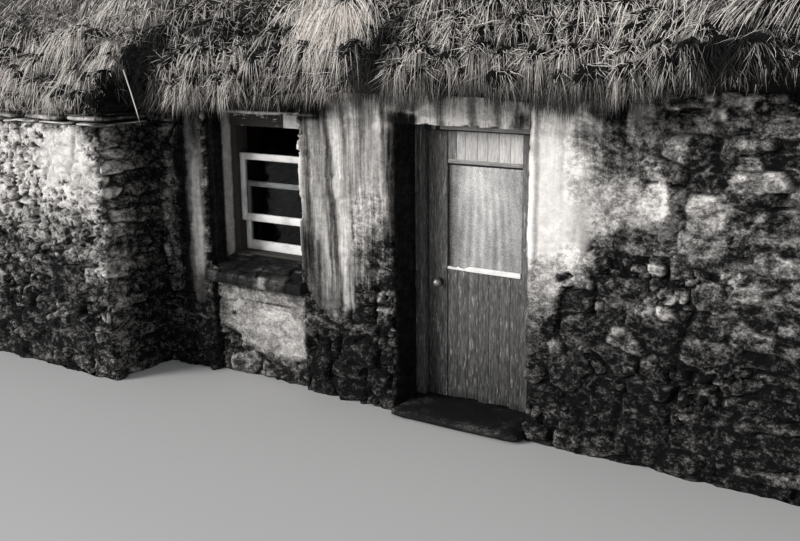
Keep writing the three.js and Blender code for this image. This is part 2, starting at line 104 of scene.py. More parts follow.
def hashed(column, row, salt):
    """A fixed pseudo-random number from 0 to 1 for each lattice point."""
    n = column.astype(np.int64).astype(np.uint32) * HASH_COLUMN
    n = n + row.astype(np.int64).astype(np.uint32) * HASH_ROW + np.uint32(salt * 7919 + 13)
    n = (n ^ (n >> np.uint32(13))) * HASH_FIRST
    n = n ^ (n >> np.uint32(16))
    n = (n ^ (n >> np.uint32(11))) * HASH_SECOND
    return ((n >> np.uint32(8)) & np.uint32(HASH_TOP)).astype(float) / HASH_TOP


def lattice_noise(x, y, salt):
    """Values hashed at whole numbers and blended by S-curves between them, from -1 to 1."""
    x, y = np.broadcast_arrays(np.asarray(x, float), np.asarray(y, float))
    column = np.floor(x)
    row = np.floor(y)
    fx = smooth(0, 1, x - column)
    fy = smooth(0, 1, y - row)
    low = mixed(hashed(column, row, salt), hashed(column + 1, row, salt), fx)
    high = mixed(hashed(column, row + 1, salt), hashed(column + 1, row + 1, salt), fx)
    return 2 * mixed(low, high, fy) - 1


def fractal(x, y, octaves, salt):
    """Octaves of lattice noise, each twice as fine and half as strong, kept within -1 to 1."""
    total = 0
    weight = 0
    for octave in range(octaves):
        gain = 0.5 ** octave
        turn = 0.6 * octave
        scale = 2.0 ** octave
        along = (x * math.cos(turn) - y * math.sin(turn)) * scale
        across = (x * math.sin(turn) + y * math.cos(turn)) * scale
        total = total + gain * lattice_noise(along, across, salt + 17 * octave)
        weight += gain
    return total / weight


# How far a cell's centre and size stray, how boxy its outline is, and farther than any centre
STRAY_ALONG = 0.62
STRAY_UP = 0.5
SIZE_SPREAD = 0.26
BOXY = 2.6
FAR = 9.0


def cells(p, q, salt):
    """The two nearest of the shifted, jittered centres, one to a lattice cell, by a boxy distance.

    Gives how much farther the second is than the first, which is 0 in a joint, the nearest
    one's hashed number, and the offsets from its centre.
    """
    row0 = np.floor(q)
    best = np.full(p.shape, FAR)
    second = np.full(p.shape, FAR)
    tag = np.zeros(p.shape)
    du = np.zeros(p.shape)
    dv = np.zeros(p.shape)
    for step_row in (-1, 0, 1):
        row = row0 + step_row
        shift = hashed(row, row * 0 + 5, salt)
        column0 = np.floor(p - shift)
        for step in (-1, 0, 1):
            column = column0 + step
            x = column + shift + 0.5 + STRAY_ALONG * (hashed(column, row, salt + 1) - 0.5)
            y = row + 0.5 + STRAY_UP * (hashed(column, row, salt + 2) - 0.5)
            size = SIZE_SPREAD * (hashed(column, row, salt + 3) - 0.5)
            away = (np.abs(p - x) ** BOXY + np.abs(q - y) ** BOXY) ** (1 / BOXY) - size
            closer = away < best
            second = np.where(closer, best, np.minimum(second, away))
            tag = np.where(closer, hashed(column, row, salt + 4), tag)
            du = np.where(closer, p - x, du)
            dv = np.where(closer, q - y, dv)
            best = np.where(closer, away, best)
    return second - best, tag, du, dv


def part_of(value, factor):
    """Another number from 0 to 1 out of a hashed one."""
    return np.modf(value * factor)[0]


def ragged_away(u, z, place, ragged):
    """How far a point is from a place's middle, in its half width and height, by a boxy distance."""
    at_u, at_z, wide, tall = place
    return ((np.abs(u - at_u) / wide) ** 3 + (np.abs(z - at_z) / tall) ** 3) ** (1 / 3) + ragged


def spots(u, z, places, rag=0.28, salt=70):
    """The strongest of some soft boxy patches, each (u, z, half width, half height, strength)."""
    ragged = rag * fractal(u * 9, z * 9, 4, salt)
    mask = np.zeros(np.broadcast(u, z).shape)
    for *place, strength in places:
        mask = np.maximum(mask, strength * smooth(1.2, 0.8, ragged_away(u, z, place, ragged)))
    return mask


def painted(level, u, z, places, rag=0.3, salt=70):
    """Lays soft boxy patches over a lightness, in order.

    A place is (u, z, half width, half height, lightness, softness of its edge).
    """
    ragged = rag * fractal(u * 9, z * 9, 4, salt)
    for *place, light, soft in places:
        level = mixed(level, light, smooth(1 + soft, 1 - soft, ragged_away(u, z, place, ragged)))
    return level


# Meshes: closed bodies from rings of points
def wound(ring_count, around, caps):
    """Quads of a closed body whose rings of points follow each other, with its two ends capped.

    A fan cap uses one centre point for each end, kept after the rings' points. A strip cap joins
    the first half of the end ring to its second half, for a long section.
    """
    ids = np.arange(ring_count * around).reshape(ring_count, around)
    ahead = np.roll(ids, -1, axis=1)
    walls = np.stack([ids[:-1], ahead[:-1], ahead[1:], ids[1:]], axis=-1).reshape(-1, 4)
    if caps == "strip":
        half = around // 2
        near = np.arange(half - 1)
        far = around - 1 - near
        low = np.stack([near + 1, near, far, far - 1], axis=-1)
        high = np.stack([near, near + 1, far - 1, far], axis=-1) + (ring_count - 1) * around
        return np.vstack([walls, low, high])
    start = np.arange(0, around, 2)
    middle = start + 1
    end = (start + 2) % around
    low_centre = np.full(start.shape, ring_count * around)
    last = (ring_count - 1) * around
    low = np.stack([low_centre, end, middle, start], axis=-1)
    high = np.stack([low_centre + 1, start + last, middle + last, end + last], axis=-1)
    return np.vstack([walls, low, high])


class Parcel:
    """Gathers the closed bodies of one piece, with the values that its material reads."""

    def __init__(self):
        self.points = []
        self.faces = []
        self.values = {}
        self.count = 0

    def add(self, points, faces, **values):
        """Adds one body, with a number or a vector for each of its points under each name."""
        self.points.append(points)
        self.faces.append(faces + self.count)
        self.count += len(points)
        for key, value in values.items():
            shape = (len(points), 3) if np.ndim(value) == 2 else (len(points),)
            self.values.setdefault(key, []).append(np.broadcast_to(np.asarray(value, float), shape))

    def add_rings(self, rings, caps="fan", **values):
        """rings is rows by points by 3, with values to match. The caps' centres take their means."""
        rows, around, _ = rings.shape
        points = rings.reshape(-1, 3)
        flat = {}
        for key, value in values.items():
            width = (3,) if np.ndim(value) == 3 else ()
            flat[key] = np.broadcast_to(value, (rows, around) + width).reshape((-1,) + width)
        if caps == "fan":
            points = np.vstack([points, rings[0].mean(axis=0), rings[-1].mean(axis=0)])
            for key, value in flat.items():
                ends = np.stack([value[:around].mean(axis=0), value[-around:].mean(axis=0)])
                flat[key] = np.concatenate([value, ends])
        self.add(points, wound(rows, around, caps), **flat)

    def piece(self, name, slot, material, body="house"):
        """Makes the piece, which replaces the frame's node of the same name, if there is one."""
        points = np.concatenate(self.points)
        faces = np.concatenate(self.faces)
        corners = faces.shape[1]
        mesh = bpy.data.meshes.new(name)
        mesh.vertices.add(len(points))
        mesh.vertices.foreach_set("co", points.astype(np.float32).ravel())
        mesh.loops.add(faces.size)
        mesh.loops.foreach_set("vertex_index", faces.astype(np.int32).ravel())
        mesh.polygons.add(len(faces))
        mesh.polygons.foreach_set("loop_start", np.arange(0, faces.size, corners, dtype=np.int32))
        mesh.update(calc_edges=True)
        mesh.shade_smooth()
        for key, parts in self.values.items():
            value = np.concatenate(parts)
            kind, field = ("FLOAT_VECTOR", "vector") if value.ndim == 2 else ("FLOAT", "value")
            attribute = mesh.attributes.new(key, kind, "POINT")
            attribute.data.foreach_set(field, value.astype(np.float32).ravel())
        mesh.validate()
        mesh.materials.append(material)
        made = bpy.data.objects.new(name, mesh)
        bpy.context.scene.collection.objects.link(made)
        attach(made, body)
        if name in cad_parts:
            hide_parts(name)


def extent(node):
    """The low and high ends of a node's box along X, Y and Z."""
    low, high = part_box(node)
    return [(low[axis], high[axis]) for axis in range(3)]


# Materials: a lightness is raised to this power, which is how the eye judges it
EYE_POWER = 2.2


class Recipe:
    """Builds one material's nodes, or one shared group's, by short calls."""

    def __init__(self, tree):
        self.tree = tree

    def node(self, kind, inputs=(), **settings):
        """A node with its settings, each of its inputs linked to a socket or set to a value."""
        made = self.tree.nodes.new(kind)
        for key, value in settings.items():
            setattr(made, key, value)
        for key, value in dict(inputs).items():
            if isinstance(value, bpy.types.NodeSocket):
                self.tree.links.new(value, made.inputs[key])
            else:
                made.inputs[key].default_value = value
        return made

    def place(self, scale=(1, 1, 1), attribute=None):
        """The object's own coordinates, or a vector attribute, stretched."""
        if attribute:
            source = self.node("ShaderNodeAttribute", attribute_name=attribute).outputs["Vector"]
        else:
            source = self.node("ShaderNodeTexCoord").outputs["Object"]
        return self.node("ShaderNodeMapping", {"Vector": source, "Scale": scale}).outputs["Vector"]

    def value(self, name):
        """A number that the mesh gives at each point."""
        return self.node("ShaderNodeAttribute", attribute_name=name).outputs["Fac"]

    def noise(self, where, scale, detail=4.0, roughness=0.6, distortion=0.0):
        """Noise from 0 to 1."""
        inputs = {"Vector": where, "Scale": scale, "Detail": detail, "Roughness": roughness,
                  "Distortion": distortion}
        return self.node("ShaderNodeTexNoise", inputs).outputs["Fac"]

    def sum(self, kind, first, second, clamp=False):
        """One sum of two sockets or numbers."""
        return self.node("ShaderNodeMath", {0: first, 1: second}, operation=kind, use_clamp=clamp).outputs[0]

    def add(self, first, *terms):
        """All of them added up, in order."""
        for term in terms:
            first = self.sum("ADD", first, term)
        return first

    def less(self, first, second):
        """The first less the second."""
        return self.sum("SUBTRACT", first, second)

    def times(self, first, second):
        """The first times the second."""
        return self.sum("MULTIPLY", first, second)

    def step(self, value, low, high, to_low=0.0, to_high=1.0):
        """An S-curve from to_low, where the value is low, to to_high, where it is high."""
        inputs = {"Value": value, "From Min": low, "From Max": high, "To Min": to_low, "To Max": to_high}
        return self.node("ShaderNodeMapRange", inputs, interpolation_type="SMOOTHSTEP").outputs["Result"]

    def swing(self, value, reach, low=0.32, high=0.68):
        """A noise stretched to run from -reach to reach."""
        return self.step(value, low, high, -reach, reach)

    def mix(self, share, first, second):
        """The first colour where share is 0, the second where it is 1."""
        return self.node("ShaderNodeMix", {0: share, 6: first, 7: second}, data_type="RGBA").outputs[2]

    def shade(self, level, warmth=0.05, top=0.8):
        """A nearly neutral colour from a lightness between 0 and 1."""
        bright = self.times(self.sum("POWER", self.sum("ADD", level, 0.0, clamp=True), EYE_POWER), top)
        inputs = {0: self.times(bright, 1 + warmth), 1: bright, 2: self.times(bright, 1 - warmth)}
        return self.node("ShaderNodeCombineColor", inputs).outputs[0]

    def bump(self, height, distance, strength=1.0):
        """Fine relief as deep as distance."""
        inputs = {"Height": height, "Distance": distance, "Strength": strength}
        return self.node("ShaderNodeBump", inputs).outputs["Normal"]

    def use(self, group, **inputs):
        """What a shared group gives for these inputs."""
        return self.node("ShaderNodeGroup", inputs, node_tree=group).outputs


def grey(level, warmth=0.06):
    """A nearly neutral colour, a little warm, or a little cool where warmth is negative."""
    return (level * (1 + warmth), level, level * (1 - warmth), 1.0)


def start_group(name, number, outputs):
    """A shared group that takes a vector and one number, with its recipe and what goes in."""
    tree = bpy.data.node_groups.new(name, "ShaderNodeTree")
    tree.interface.new_socket("Vector", in_out="INPUT", socket_type="NodeSocketVector")
    tree.interface.new_socket(number, in_out="INPUT", socket_type="NodeSocketFloat")
    for label in outputs:
        tree.interface.new_socket(label, in_out="OUTPUT", socket_type="NodeSocketFloat")
    recipe = Recipe(tree)
    inside = recipe.node("NodeGroupInput").outputs
    return tree, recipe, inside["Vector"], inside[number]


def weathering_group():
    """Grain and pits: coarse and fine noise joined as one height, and a speckle mask."""
    tree, recipe, where, size = start_group("weathering", "Size", ("Coarse", "Fine", "Speckle", "Height"))
    coarse = recipe.noise(where, size, 5.0, 0.62)
    fine = recipe.noise(where, recipe.times(size, 6.0), 4.0, 0.65)
    speckle = recipe.step(recipe.noise(where, recipe.times(size, 14.0), 2.0, 0.5), 0.56, 0.66)
    height = recipe.add(recipe.times(coarse, 0.5), recipe.times(fine, 0.5))
    recipe.node("NodeGroupOutput", {"Coarse": coarse, "Fine": fine, "Speckle": speckle, "Height": height})
    return tree


def flaking_group():
    """Paint that has flaked off along the grain: a mask of bare wood, the grain's lines and a height."""
    tree, recipe, where, loss = start_group("flaking", "Loss", ("Bare", "Grain", "Height"))
    along = recipe.node("ShaderNodeMapping", {"Vector": where, "Scale": (1.0, 1.0, 0.14)}).outputs["Vector"]
    grain = recipe.noise(along, 190.0, 4.0, 0.6)
    lost = recipe.noise(along, 46.0, 6.0, 0.66, 0.2)
    patchy = recipe.noise(where, 9.0, 3.0, 0.55)
    edge = recipe.add(lost, recipe.times(recipe.less(patchy, 0.5), 0.5), recipe.less(loss, 0.5))
    bare = recipe.step(edge, 0.5, 0.545)
    height = recipe.less(recipe.times(grain, 0.35), recipe.times(bare, 0.65))
    recipe.node("NodeGroupOutput", {"Bare": bare, "Grain": grain, "Height": height})
    return tree


def start_material(name):
    """A new empty material with its recipe."""
    made = bpy.data.materials.new(name)
    made.use_nodes = True
    made.node_tree.nodes.clear()
    return made, Recipe(made.node_tree)


def end_material(made, recipe, **inputs):
    """Closes a recipe with the Principled shader and the output."""
    labelled = {key.replace("_", " "): value for key, value in inputs.items()}
    shader = recipe.node("ShaderNodeBsdfPrincipled", labelled)
    recipe.node("ShaderNodeOutputMaterial", {"Surface": shader.outputs[0]})
    return made


def wall_material():
    """Rubble and limewash: the mesh gives lightness, how mottled it is and how strongly it has run."""
    made, recipe = start_material("limewashed rubble")
    crust = recipe.noise(recipe.place((0.85, 0.85, 1.2)), 16.0, 9.0, 0.7, 0.4)
    pits = recipe.noise(recipe.place((0.9, 0.9, 1.2)), 50.0, 4.0, 0.68, 0.3)
    runs = recipe.noise(recipe.place((24, 15, 1.3)), 1.0, 5.0, 0.62, 0.3)
    fine_runs = recipe.noise(recipe.place((95, 40, 5)), 1.0, 3.0, 0.6)
    specks = recipe.noise(recipe.place(), 95.0, 2.0, 0.6)
    mottle = recipe.add(recipe.swing(crust, 0.64), recipe.swing(pits, 0.38),
                        recipe.swing(specks, 0.18, 0.4, 0.6))
    streaks = recipe.add(recipe.swing(runs, 0.5), recipe.swing(fine_runs, 0.3))
    level = recipe.add(recipe.value("level"), recipe.times(mottle, recipe.value("mottle")),
                       recipe.times(streaks, recipe.value("run")))
    rough = recipe.add(recipe.times(crust, 0.7), recipe.times(pits, 0.3))
    rough = recipe.times(rough, recipe.add(recipe.value("mottle"), 0.12))
    return end_material(made, recipe, Base_Color=recipe.shade(level), Roughness=0.94,
                        Normal=recipe.bump(rough, 0.05, 0.7), Specular_IOR_Level=0.2)


def flag_material():
    """Dark split flagstone, faintly bedded, lichened, its arrises worn and painted light, shade painted under
    it.
    """
    made, recipe = start_material("flagstone")
    wear = recipe.use(WEATHERING, Vector=recipe.place(), Size=11.0)
    bedded = recipe.noise(recipe.place((5, 5, 90)), 1.0, 4.0, 0.6)
    level = recipe.add(recipe.value("level"), recipe.swing(wear["Coarse"], 0.12),
                       recipe.swing(wear["Fine"], 0.09), recipe.step(bedded, 0.5, 0.68, 0.0, -0.12),
                       recipe.times(wear["Speckle"], 0.08))
    return end_material(made, recipe, Base_Color=recipe.shade(level), Roughness=0.85,
                        Normal=recipe.bump(wear["Height"], 0.014, 0.8), Specular_IOR_Level=0.3)


def floor_material():
    """Flags laid on the ground inside, with dark joints drawn by stretched cells."""
    made, recipe = start_material("floor flags")
    wear = recipe.use(WEATHERING, Vector=recipe.place(), Size=7.0)
    inputs = {"Vector": recipe.place((1.0, 1.5, 0.01)), "Scale": 1.9}
    joints = recipe.node("ShaderNodeTexVoronoi", inputs, feature="DISTANCE_TO_EDGE").outputs["Distance"]
    colour = recipe.mix(recipe.step(wear["Coarse"], 0.3, 0.7), grey(0.07, 0.08), grey(0.2, 0.07))
    colour = recipe.mix(recipe.step(joints, 0.012, 0.035), grey(0.015, 0.1), colour)
    height = recipe.add(recipe.step(joints, 0.01, 0.05), recipe.times(wear["Height"], 0.4))
    return end_material(made, recipe, Base_Color=colour, Roughness=0.8, Normal=recipe.bump(height, 0.01))


def thatch_material():
    """The matted body of the thatch under its straw, near black as painted shade under shaggy straw: fine
    lines down the slope.
    """
    made, recipe = start_material("thatch")
    lines = recipe.noise(recipe.place((120, 120, 9), "grain"), 1.0, 5.0, 0.7, 0.3)
    clumps = recipe.noise(recipe.place((14, 14, 9), "grain"), 1.0, 4.0, 0.65)
    mottle = recipe.add(recipe.swing(lines, 0.6), recipe.swing(clumps, 0.4))
    level = recipe.times(recipe.value("level"), recipe.add(1.0, mottle))
    height = recipe.add(lines, recipe.times(clumps, 0.7))
    return end_material(made, recipe, Base_Color=recipe.shade(level, 0.08), Roughness=0.95,
                        Normal=recipe.bump(height, 0.03), Specular_IOR_Level=0.15)


def straw_material():
    """Single straws: each has its own lightness, with painted shade towards its root and a lighter tip."""
    made, recipe = start_material("straw")
    return end_material(made, recipe, Base_Color=recipe.shade(recipe.value("level"), 0.07, 0.95),
                        Roughness=0.75, Specular_IOR_Level=0.25)


def painted_material(name, paint, wood, loss, dirt):
    """Old paint on boards: flaked along the grain, with dirt gathered in broad patches."""
    made, recipe = start_material(name)
    lost = recipe.add(recipe.value("loss"), loss)
    flake = recipe.use(FLAKING, Vector=recipe.place(attribute="grain"), Loss=lost)
    soiled = recipe.noise(recipe.place((1, 1, 0.5), "grain"), 16.0, 4.0, 0.65)
    bare = recipe.mix(flake["Grain"], grey(wood * 0.35, 0.12), grey(wood * 1.6, 0.1))
    coat = recipe.mix(recipe.step(soiled, 0.42, 0.75, 0.0, dirt), grey(paint, 0.03), grey(wood * 0.6, 0.1))
    colour = recipe.mix(flake["Bare"], coat, bare)
    roughness = recipe.step(flake["Bare"], 0.0, 1.0, 0.55, 0.92)
    return end_material(made, recipe, Base_Color=colour, Roughness=roughness,
                        Normal=recipe.bump(flake["Height"], 0.0022), Specular_IOR_Level=0.35)


def door_material():
    """Grey paint gone chalky, each board as light as the mesh says, some with painted shadow, with light
    chips and lost flakes.
    """
    made, recipe = start_material("door paint")
    flake = recipe.use(FLAKING, Vector=recipe.place(attribute="grain"), Loss=recipe.value("loss"))
    chalk = recipe.noise(recipe.place((1, 1, 0.16), "grain"), 90.0, 4.0, 0.7)
    chips = recipe.noise(recipe.place((1, 1, 0.16), "grain"), 72.0, 6.0, 0.72)
    level = recipe.add(recipe.value("pale"), recipe.swing(chalk, 0.09),
                       recipe.times(recipe.step(chips, 0.585, 0.615), 0.24))
    level = recipe.times(level, recipe.less(1.0, recipe.times(flake["Bare"], 0.3)))
    return end_material(made, recipe, Base_Color=recipe.shade(level, 0.04), Roughness=0.7,
                        Normal=recipe.bump(flake["Height"], 0.0022), Specular_IOR_Level=0.3)


def timber_material():
    """Smoke-dark round timber and sawn boards."""
    made, recipe = start_material("old timber")
    grain = recipe.noise(recipe.place((30, 30, 30)), 1.0, 5.0, 0.6, 0.4)
    long_grain = recipe.noise(recipe.place((3, 60, 60)), 1.0, 4.0, 0.6)
    tone = recipe.times(recipe.add(grain, long_grain), 0.5)
    colour = recipe.mix(recipe.step(tone, 0.3, 0.7), grey(0.02, 0.2), grey(0.12, 0.18))
    return end_material(made, recipe, Base_Color=colour, Roughness=0.85, Normal=recipe.bump(tone, 0.004))


def glass_material():
    """Old window glass: clear, slightly wavy, dusty."""
    made, recipe = start_material("window glass")
    waves = recipe.noise(recipe.place((1, 1, 0.4)), 9.0, 2.0, 0.5)
    return end_material(made, recipe, Base_Color=grey(0.6, -0.02), Roughness=0.02, IOR=1.22,
                        Transmission_Weight=1.0, Normal=recipe.bump(waves, 0.004, 0.5))


def sheet_material():
    """The door's pane: a milky sheet with a fine grain and soft clouds, with the mesh's painted light and
    shade.
    """
    made, recipe = start_material("grained pane")
    grain = recipe.noise(recipe.place(), 150.0, 2.0, 0.6)
    cloudy = recipe.noise(recipe.place((1, 1, 0.5)), 11.0, 3.0, 0.6)
    level = recipe.add(recipe.value("level"), recipe.swing(grain, 0.1), recipe.swing(cloudy, 0.07))
    return end_material(made, recipe, Base_Color=recipe.shade(level, 0.03), Roughness=0.5,
                        Normal=recipe.bump(grain, 0.003))


def metal_material(name, size, dark, light, roughness, metallic, depth):
    """Worn metal: two colours by coarse noise of a size, with a fine relief as deep as depth."""
    made, recipe = start_material(name)
    wear = recipe.use(WEATHERING, Vector=recipe.place(), Size=size)
    colour = recipe.mix(recipe.step(wear["Coarse"], 0.35, 0.65), dark, light)
    return end_material(made, recipe, Base_Color=colour, Roughness=roughness, Metallic=metallic,
                        Normal=recipe.bump(wear["Height"], depth))


WEATHERING = weathering_group()
FLAKING = flaking_group()
WALL = wall_material()
FLAG = flag_material()
FLOOR = floor_material()
THATCH = thatch_material()
STRAW = straw_material()
WHITE = painted_material("white paint", 0.86, 0.1, -0.08, 0.45)
# The frame's bare wood is darker, which also paints the shadow on its head board's left part.
FRAME = painted_material("frame paint", 0.86, 0.045, -0.08, 0.45)
DOOR = door_material()
TIMBER = timber_material()
GLASS = glass_material()
SHEET = sheet_material()
IRON = metal_material("rusted iron", 60.0, grey(0.03, 0.1), (0.12, 0.075, 0.05, 1), 0.7, 0.55, 0.0015)
KNOB = metal_material("worn knob", 90.0, grey(0.16, 0.05), grey(0.42, 0.05), 0.42, 0.6, 0.0008)


# Masonry: stones, the chips among them and their share, stones in beds, and how deep a joint is
STONE_LONG = 0.25
STONE_TALL = 0.135
CHIP_LONG = 0.10
CHIP_TALL = 0.062
CHIP_SHARE = 0.36
BED_LONG = 0.42
BED_TALL = 0.085
JOINT_DEPTH = 0.045
# How far a stone stands out by its own step, its tilt, its broken face and its grit, and how far
# a skin of plaster does
STEP_REACH = 0.024
TILT_REACH = 0.08
BROKEN_REACH = 0.017
GRIT_REACH = 0.005
SKIN_THICK = 0.013
# A place along that no wall reaches
NEVER = 99.0


def laid(p, q, salt):
    """One pattern of stones: how far in from the joint, each stone's number, and its tilted face."""
    edge, tag, du, dv = cells(p, q, salt)
    return edge, tag, (part_of(tag, 57.3) - 0.5) * du + (part_of(tag, 113.7) - 0.5) * dv


def stonework(u, z, salt, beds_from=NEVER):
    """Rubble over coordinates along and up the face: relief in metres, lightness, and joints.

    The coordinates wander by noise. Large stones and chips share the wall, and past beds_from
    the stones lie in long thin beds. A stone is a low pillow with its own step, tilt and broken
    face, and the joints are deep where the mortar has gone.
    """
    along = u + 0.05 * fractal(u * 3.4, z * 3.4, 3, salt) + 0.02 * fractal(u * 15, z * 15, 3, salt + 2)
    up = z + 0.04 * fractal(u * 2.8 + 9, z * 4.4, 3, salt + 1) + 0.015 * fractal(u * 14, z * 18, 3, salt + 3)
    edge, tag, tilt = laid(along / STONE_LONG, up / STONE_TALL, salt)
    chip_edge, chip_tag, chip_tilt = laid(along / CHIP_LONG, up / CHIP_TALL, salt + 30)
    bed_edge, bed_tag, bed_tilt = laid(along / BED_LONG, up / BED_TALL, salt + 60)
    chipped = part_of(tag, 31.7) < CHIP_SHARE
    bedded = u + 0.25 * fractal(u * 3, z * 3, 2, salt + 4) > beds_from
    kinds = [bedded, chipped]
    edge = np.select(kinds, [bed_edge, np.minimum(1.4 * edge, chip_edge)], edge)
    tag = np.select(kinds, [bed_tag, chip_tag], tag)
    tilt = np.select(kinds, [0.7 * bed_tilt, 0.5 * chip_tilt], tilt)
    gone = smooth(-0.3, 0.4, fractal(u * 3.7, z * 3.7, 3, salt + 7))
    body = smooth(0.0, 0.27, edge)
    broken = np.abs(fractal(u * 10, z * 13, 4, salt + 5))
    rough = fractal(u * 30, z * 38, 3, salt + 8)
    step = STEP_REACH * (part_of(tag, 7.7) - 0.4) + TILT_REACH * tilt
    relief = body * step - JOINT_DEPTH * (0.3 + 0.7 * gone) * (1 - body)
    relief = relief + BROKEN_REACH * (0.3 - broken) + GRIT_REACH * rough
    joint = smooth(0.13, 0.02, edge) * (0.3 + 0.7 * gone)
    # Painted highlight: a light rim just inside each stone's edge, where light catches it.
    rim = smooth(0.05, 0.18, edge) * smooth(0.5, 0.22, edge)
    level = 0.1 + 0.34 * tag ** 2 + 0.3 * (0.24 - broken) + 0.07 * rough + 0.12 * rim * (0.3 + tag)
    return relief, level * (1 - 0.88 * joint), joint


def skimmed(relief, u, z, kept, salt):
    """The relief under a skin of plaster where kept is 1: smoother, with slow waves of its own."""
    waves = SKIN_THICK + 0.011 * fractal(u * 3.2, z * 2.4, 3, salt + 9)
    skin = waves + 0.003 * fractal(u * 26, z * 12, 3, salt + 10)
    return mixed(relief, 0.2 * relief + skin, kept)


def dressed(relief, level, joint, kept, run, coarse=0.34, flaky=0.0):
    """The values that a face gives its mesh. Stone is mottled, plaster less so unless it flakes."""
    mottle = mixed(coarse * (1 - 0.75 * joint), 0.08 + 0.26 * flaky, kept)
    return {"relief": relief, "level": np.clip(level, 0, 1.05), "mottle": mottle, "run": run}


# Where plaster holds on the front, in metres along the front wall and up, as
# (place along, height, half width, half height, strength)
PLASTER = [
    (-2.19, 1.2, 0.1, 0.8, 1.0), (-1.63, 0.42, 0.42, 0.3, 1.0), (-1.7, 2.0, 0.5, 0.16, 1.0),
    (-0.95, 1.4, 0.3, 0.78, 1.0), (-0.66, 1.56, 0.3, 0.56, 1.0), (0.0, 1.99, 0.62, 0.14, 1.0),
    (1.18, 1.47, 0.13, 0.14, 0.9), (2.56, 1.25, 0.13, 0.8, 1.0), (3.74, 1.25, 0.15, 0.8, 1.0),
    (3.13, 0.4, 0.43, 0.33, 1.0), (3.13, 2.0, 0.55, 0.13, 1.0),
]
# Where it has fallen since
BARE = [
    (-2.0, 0.19, 0.14, 0.15, 1.0), (-1.76, 0.07, 0.3, 0.13, 1.0), (-1.4, 0.02, 0.3, 0.07, 1.0),
    (-0.5, 0.95, 0.12, 0.22, 0.9), (-0.62, 0.72, 0.14, 0.14, 0.9),
]
# Where it flakes
FLAKY = [
    (1.17, 1.5, 0.13, 0.15, 1.0), (-0.68, 1.2, 0.14, 0.26, 0.7), (-1.63, 0.4, 0.45, 0.3, 0.65),
    (1.0, 1.5, 0.18, 0.45, 0.85), (0.52, 0.85, 0.1, 0.3, 0.8), (0.0, 1.99, 0.6, 0.12, 0.3),
    (0.72, 1.04, 0.14, 0.18, 1.0), (0.8, 1.75, 0.12, 0.3, 0.7),
]
# The lower edge of the bank of lime right of the door, along the front and up, and its two ends
BANK_X = (0.44, 0.56, 0.72, 0.9, 1.15)
BANK_Z = (0.5, 0.74, 1.06, 1.27, 1.42)
BANK_START = 0.42
BANK_END = 1.13
# The bank's lightness, in order, as (place along, height, half width, half height, lightness, softness)
BANK_LIME = [
    (0.8, 1.3, 0.6, 0.9, 0.36, 0.3), (0.6, 1.48, 0.2, 0.52, 0.94, 0.45), (0.62, 1.28, 0.18, 0.24, 0.96, 0.5),
    (0.86, 1.4, 0.13, 0.2, 0.74, 0.6), (1.0, 1.5, 0.13, 0.14, 0.66, 0.6), (0.92, 1.22, 0.1, 0.1, 0.5, 0.6),
    # (0.94, 2.0): painted shadow under the eave.
    (0.78, 1.88, 0.07, 0.1, 0.48, 0.6), (0.98, 1.8, 0.12, 0.14, 0.27, 0.6), (0.94, 2.0, 0.1, 0.07, 0.05, 0.5),
    (1.04, 1.92, 0.02, 0.08, 0.6, 0.4), (0.86, 1.78, 0.03, 0.2, 0.5, 0.6), (0.56, 0.98, 0.1, 0.14, 0.66, 0.7),
    (0.52, 0.8, 0.08, 0.1, 0.46, 0.7), (0.48, 0.62, 0.06, 0.1, 0.3, 0.7),
]
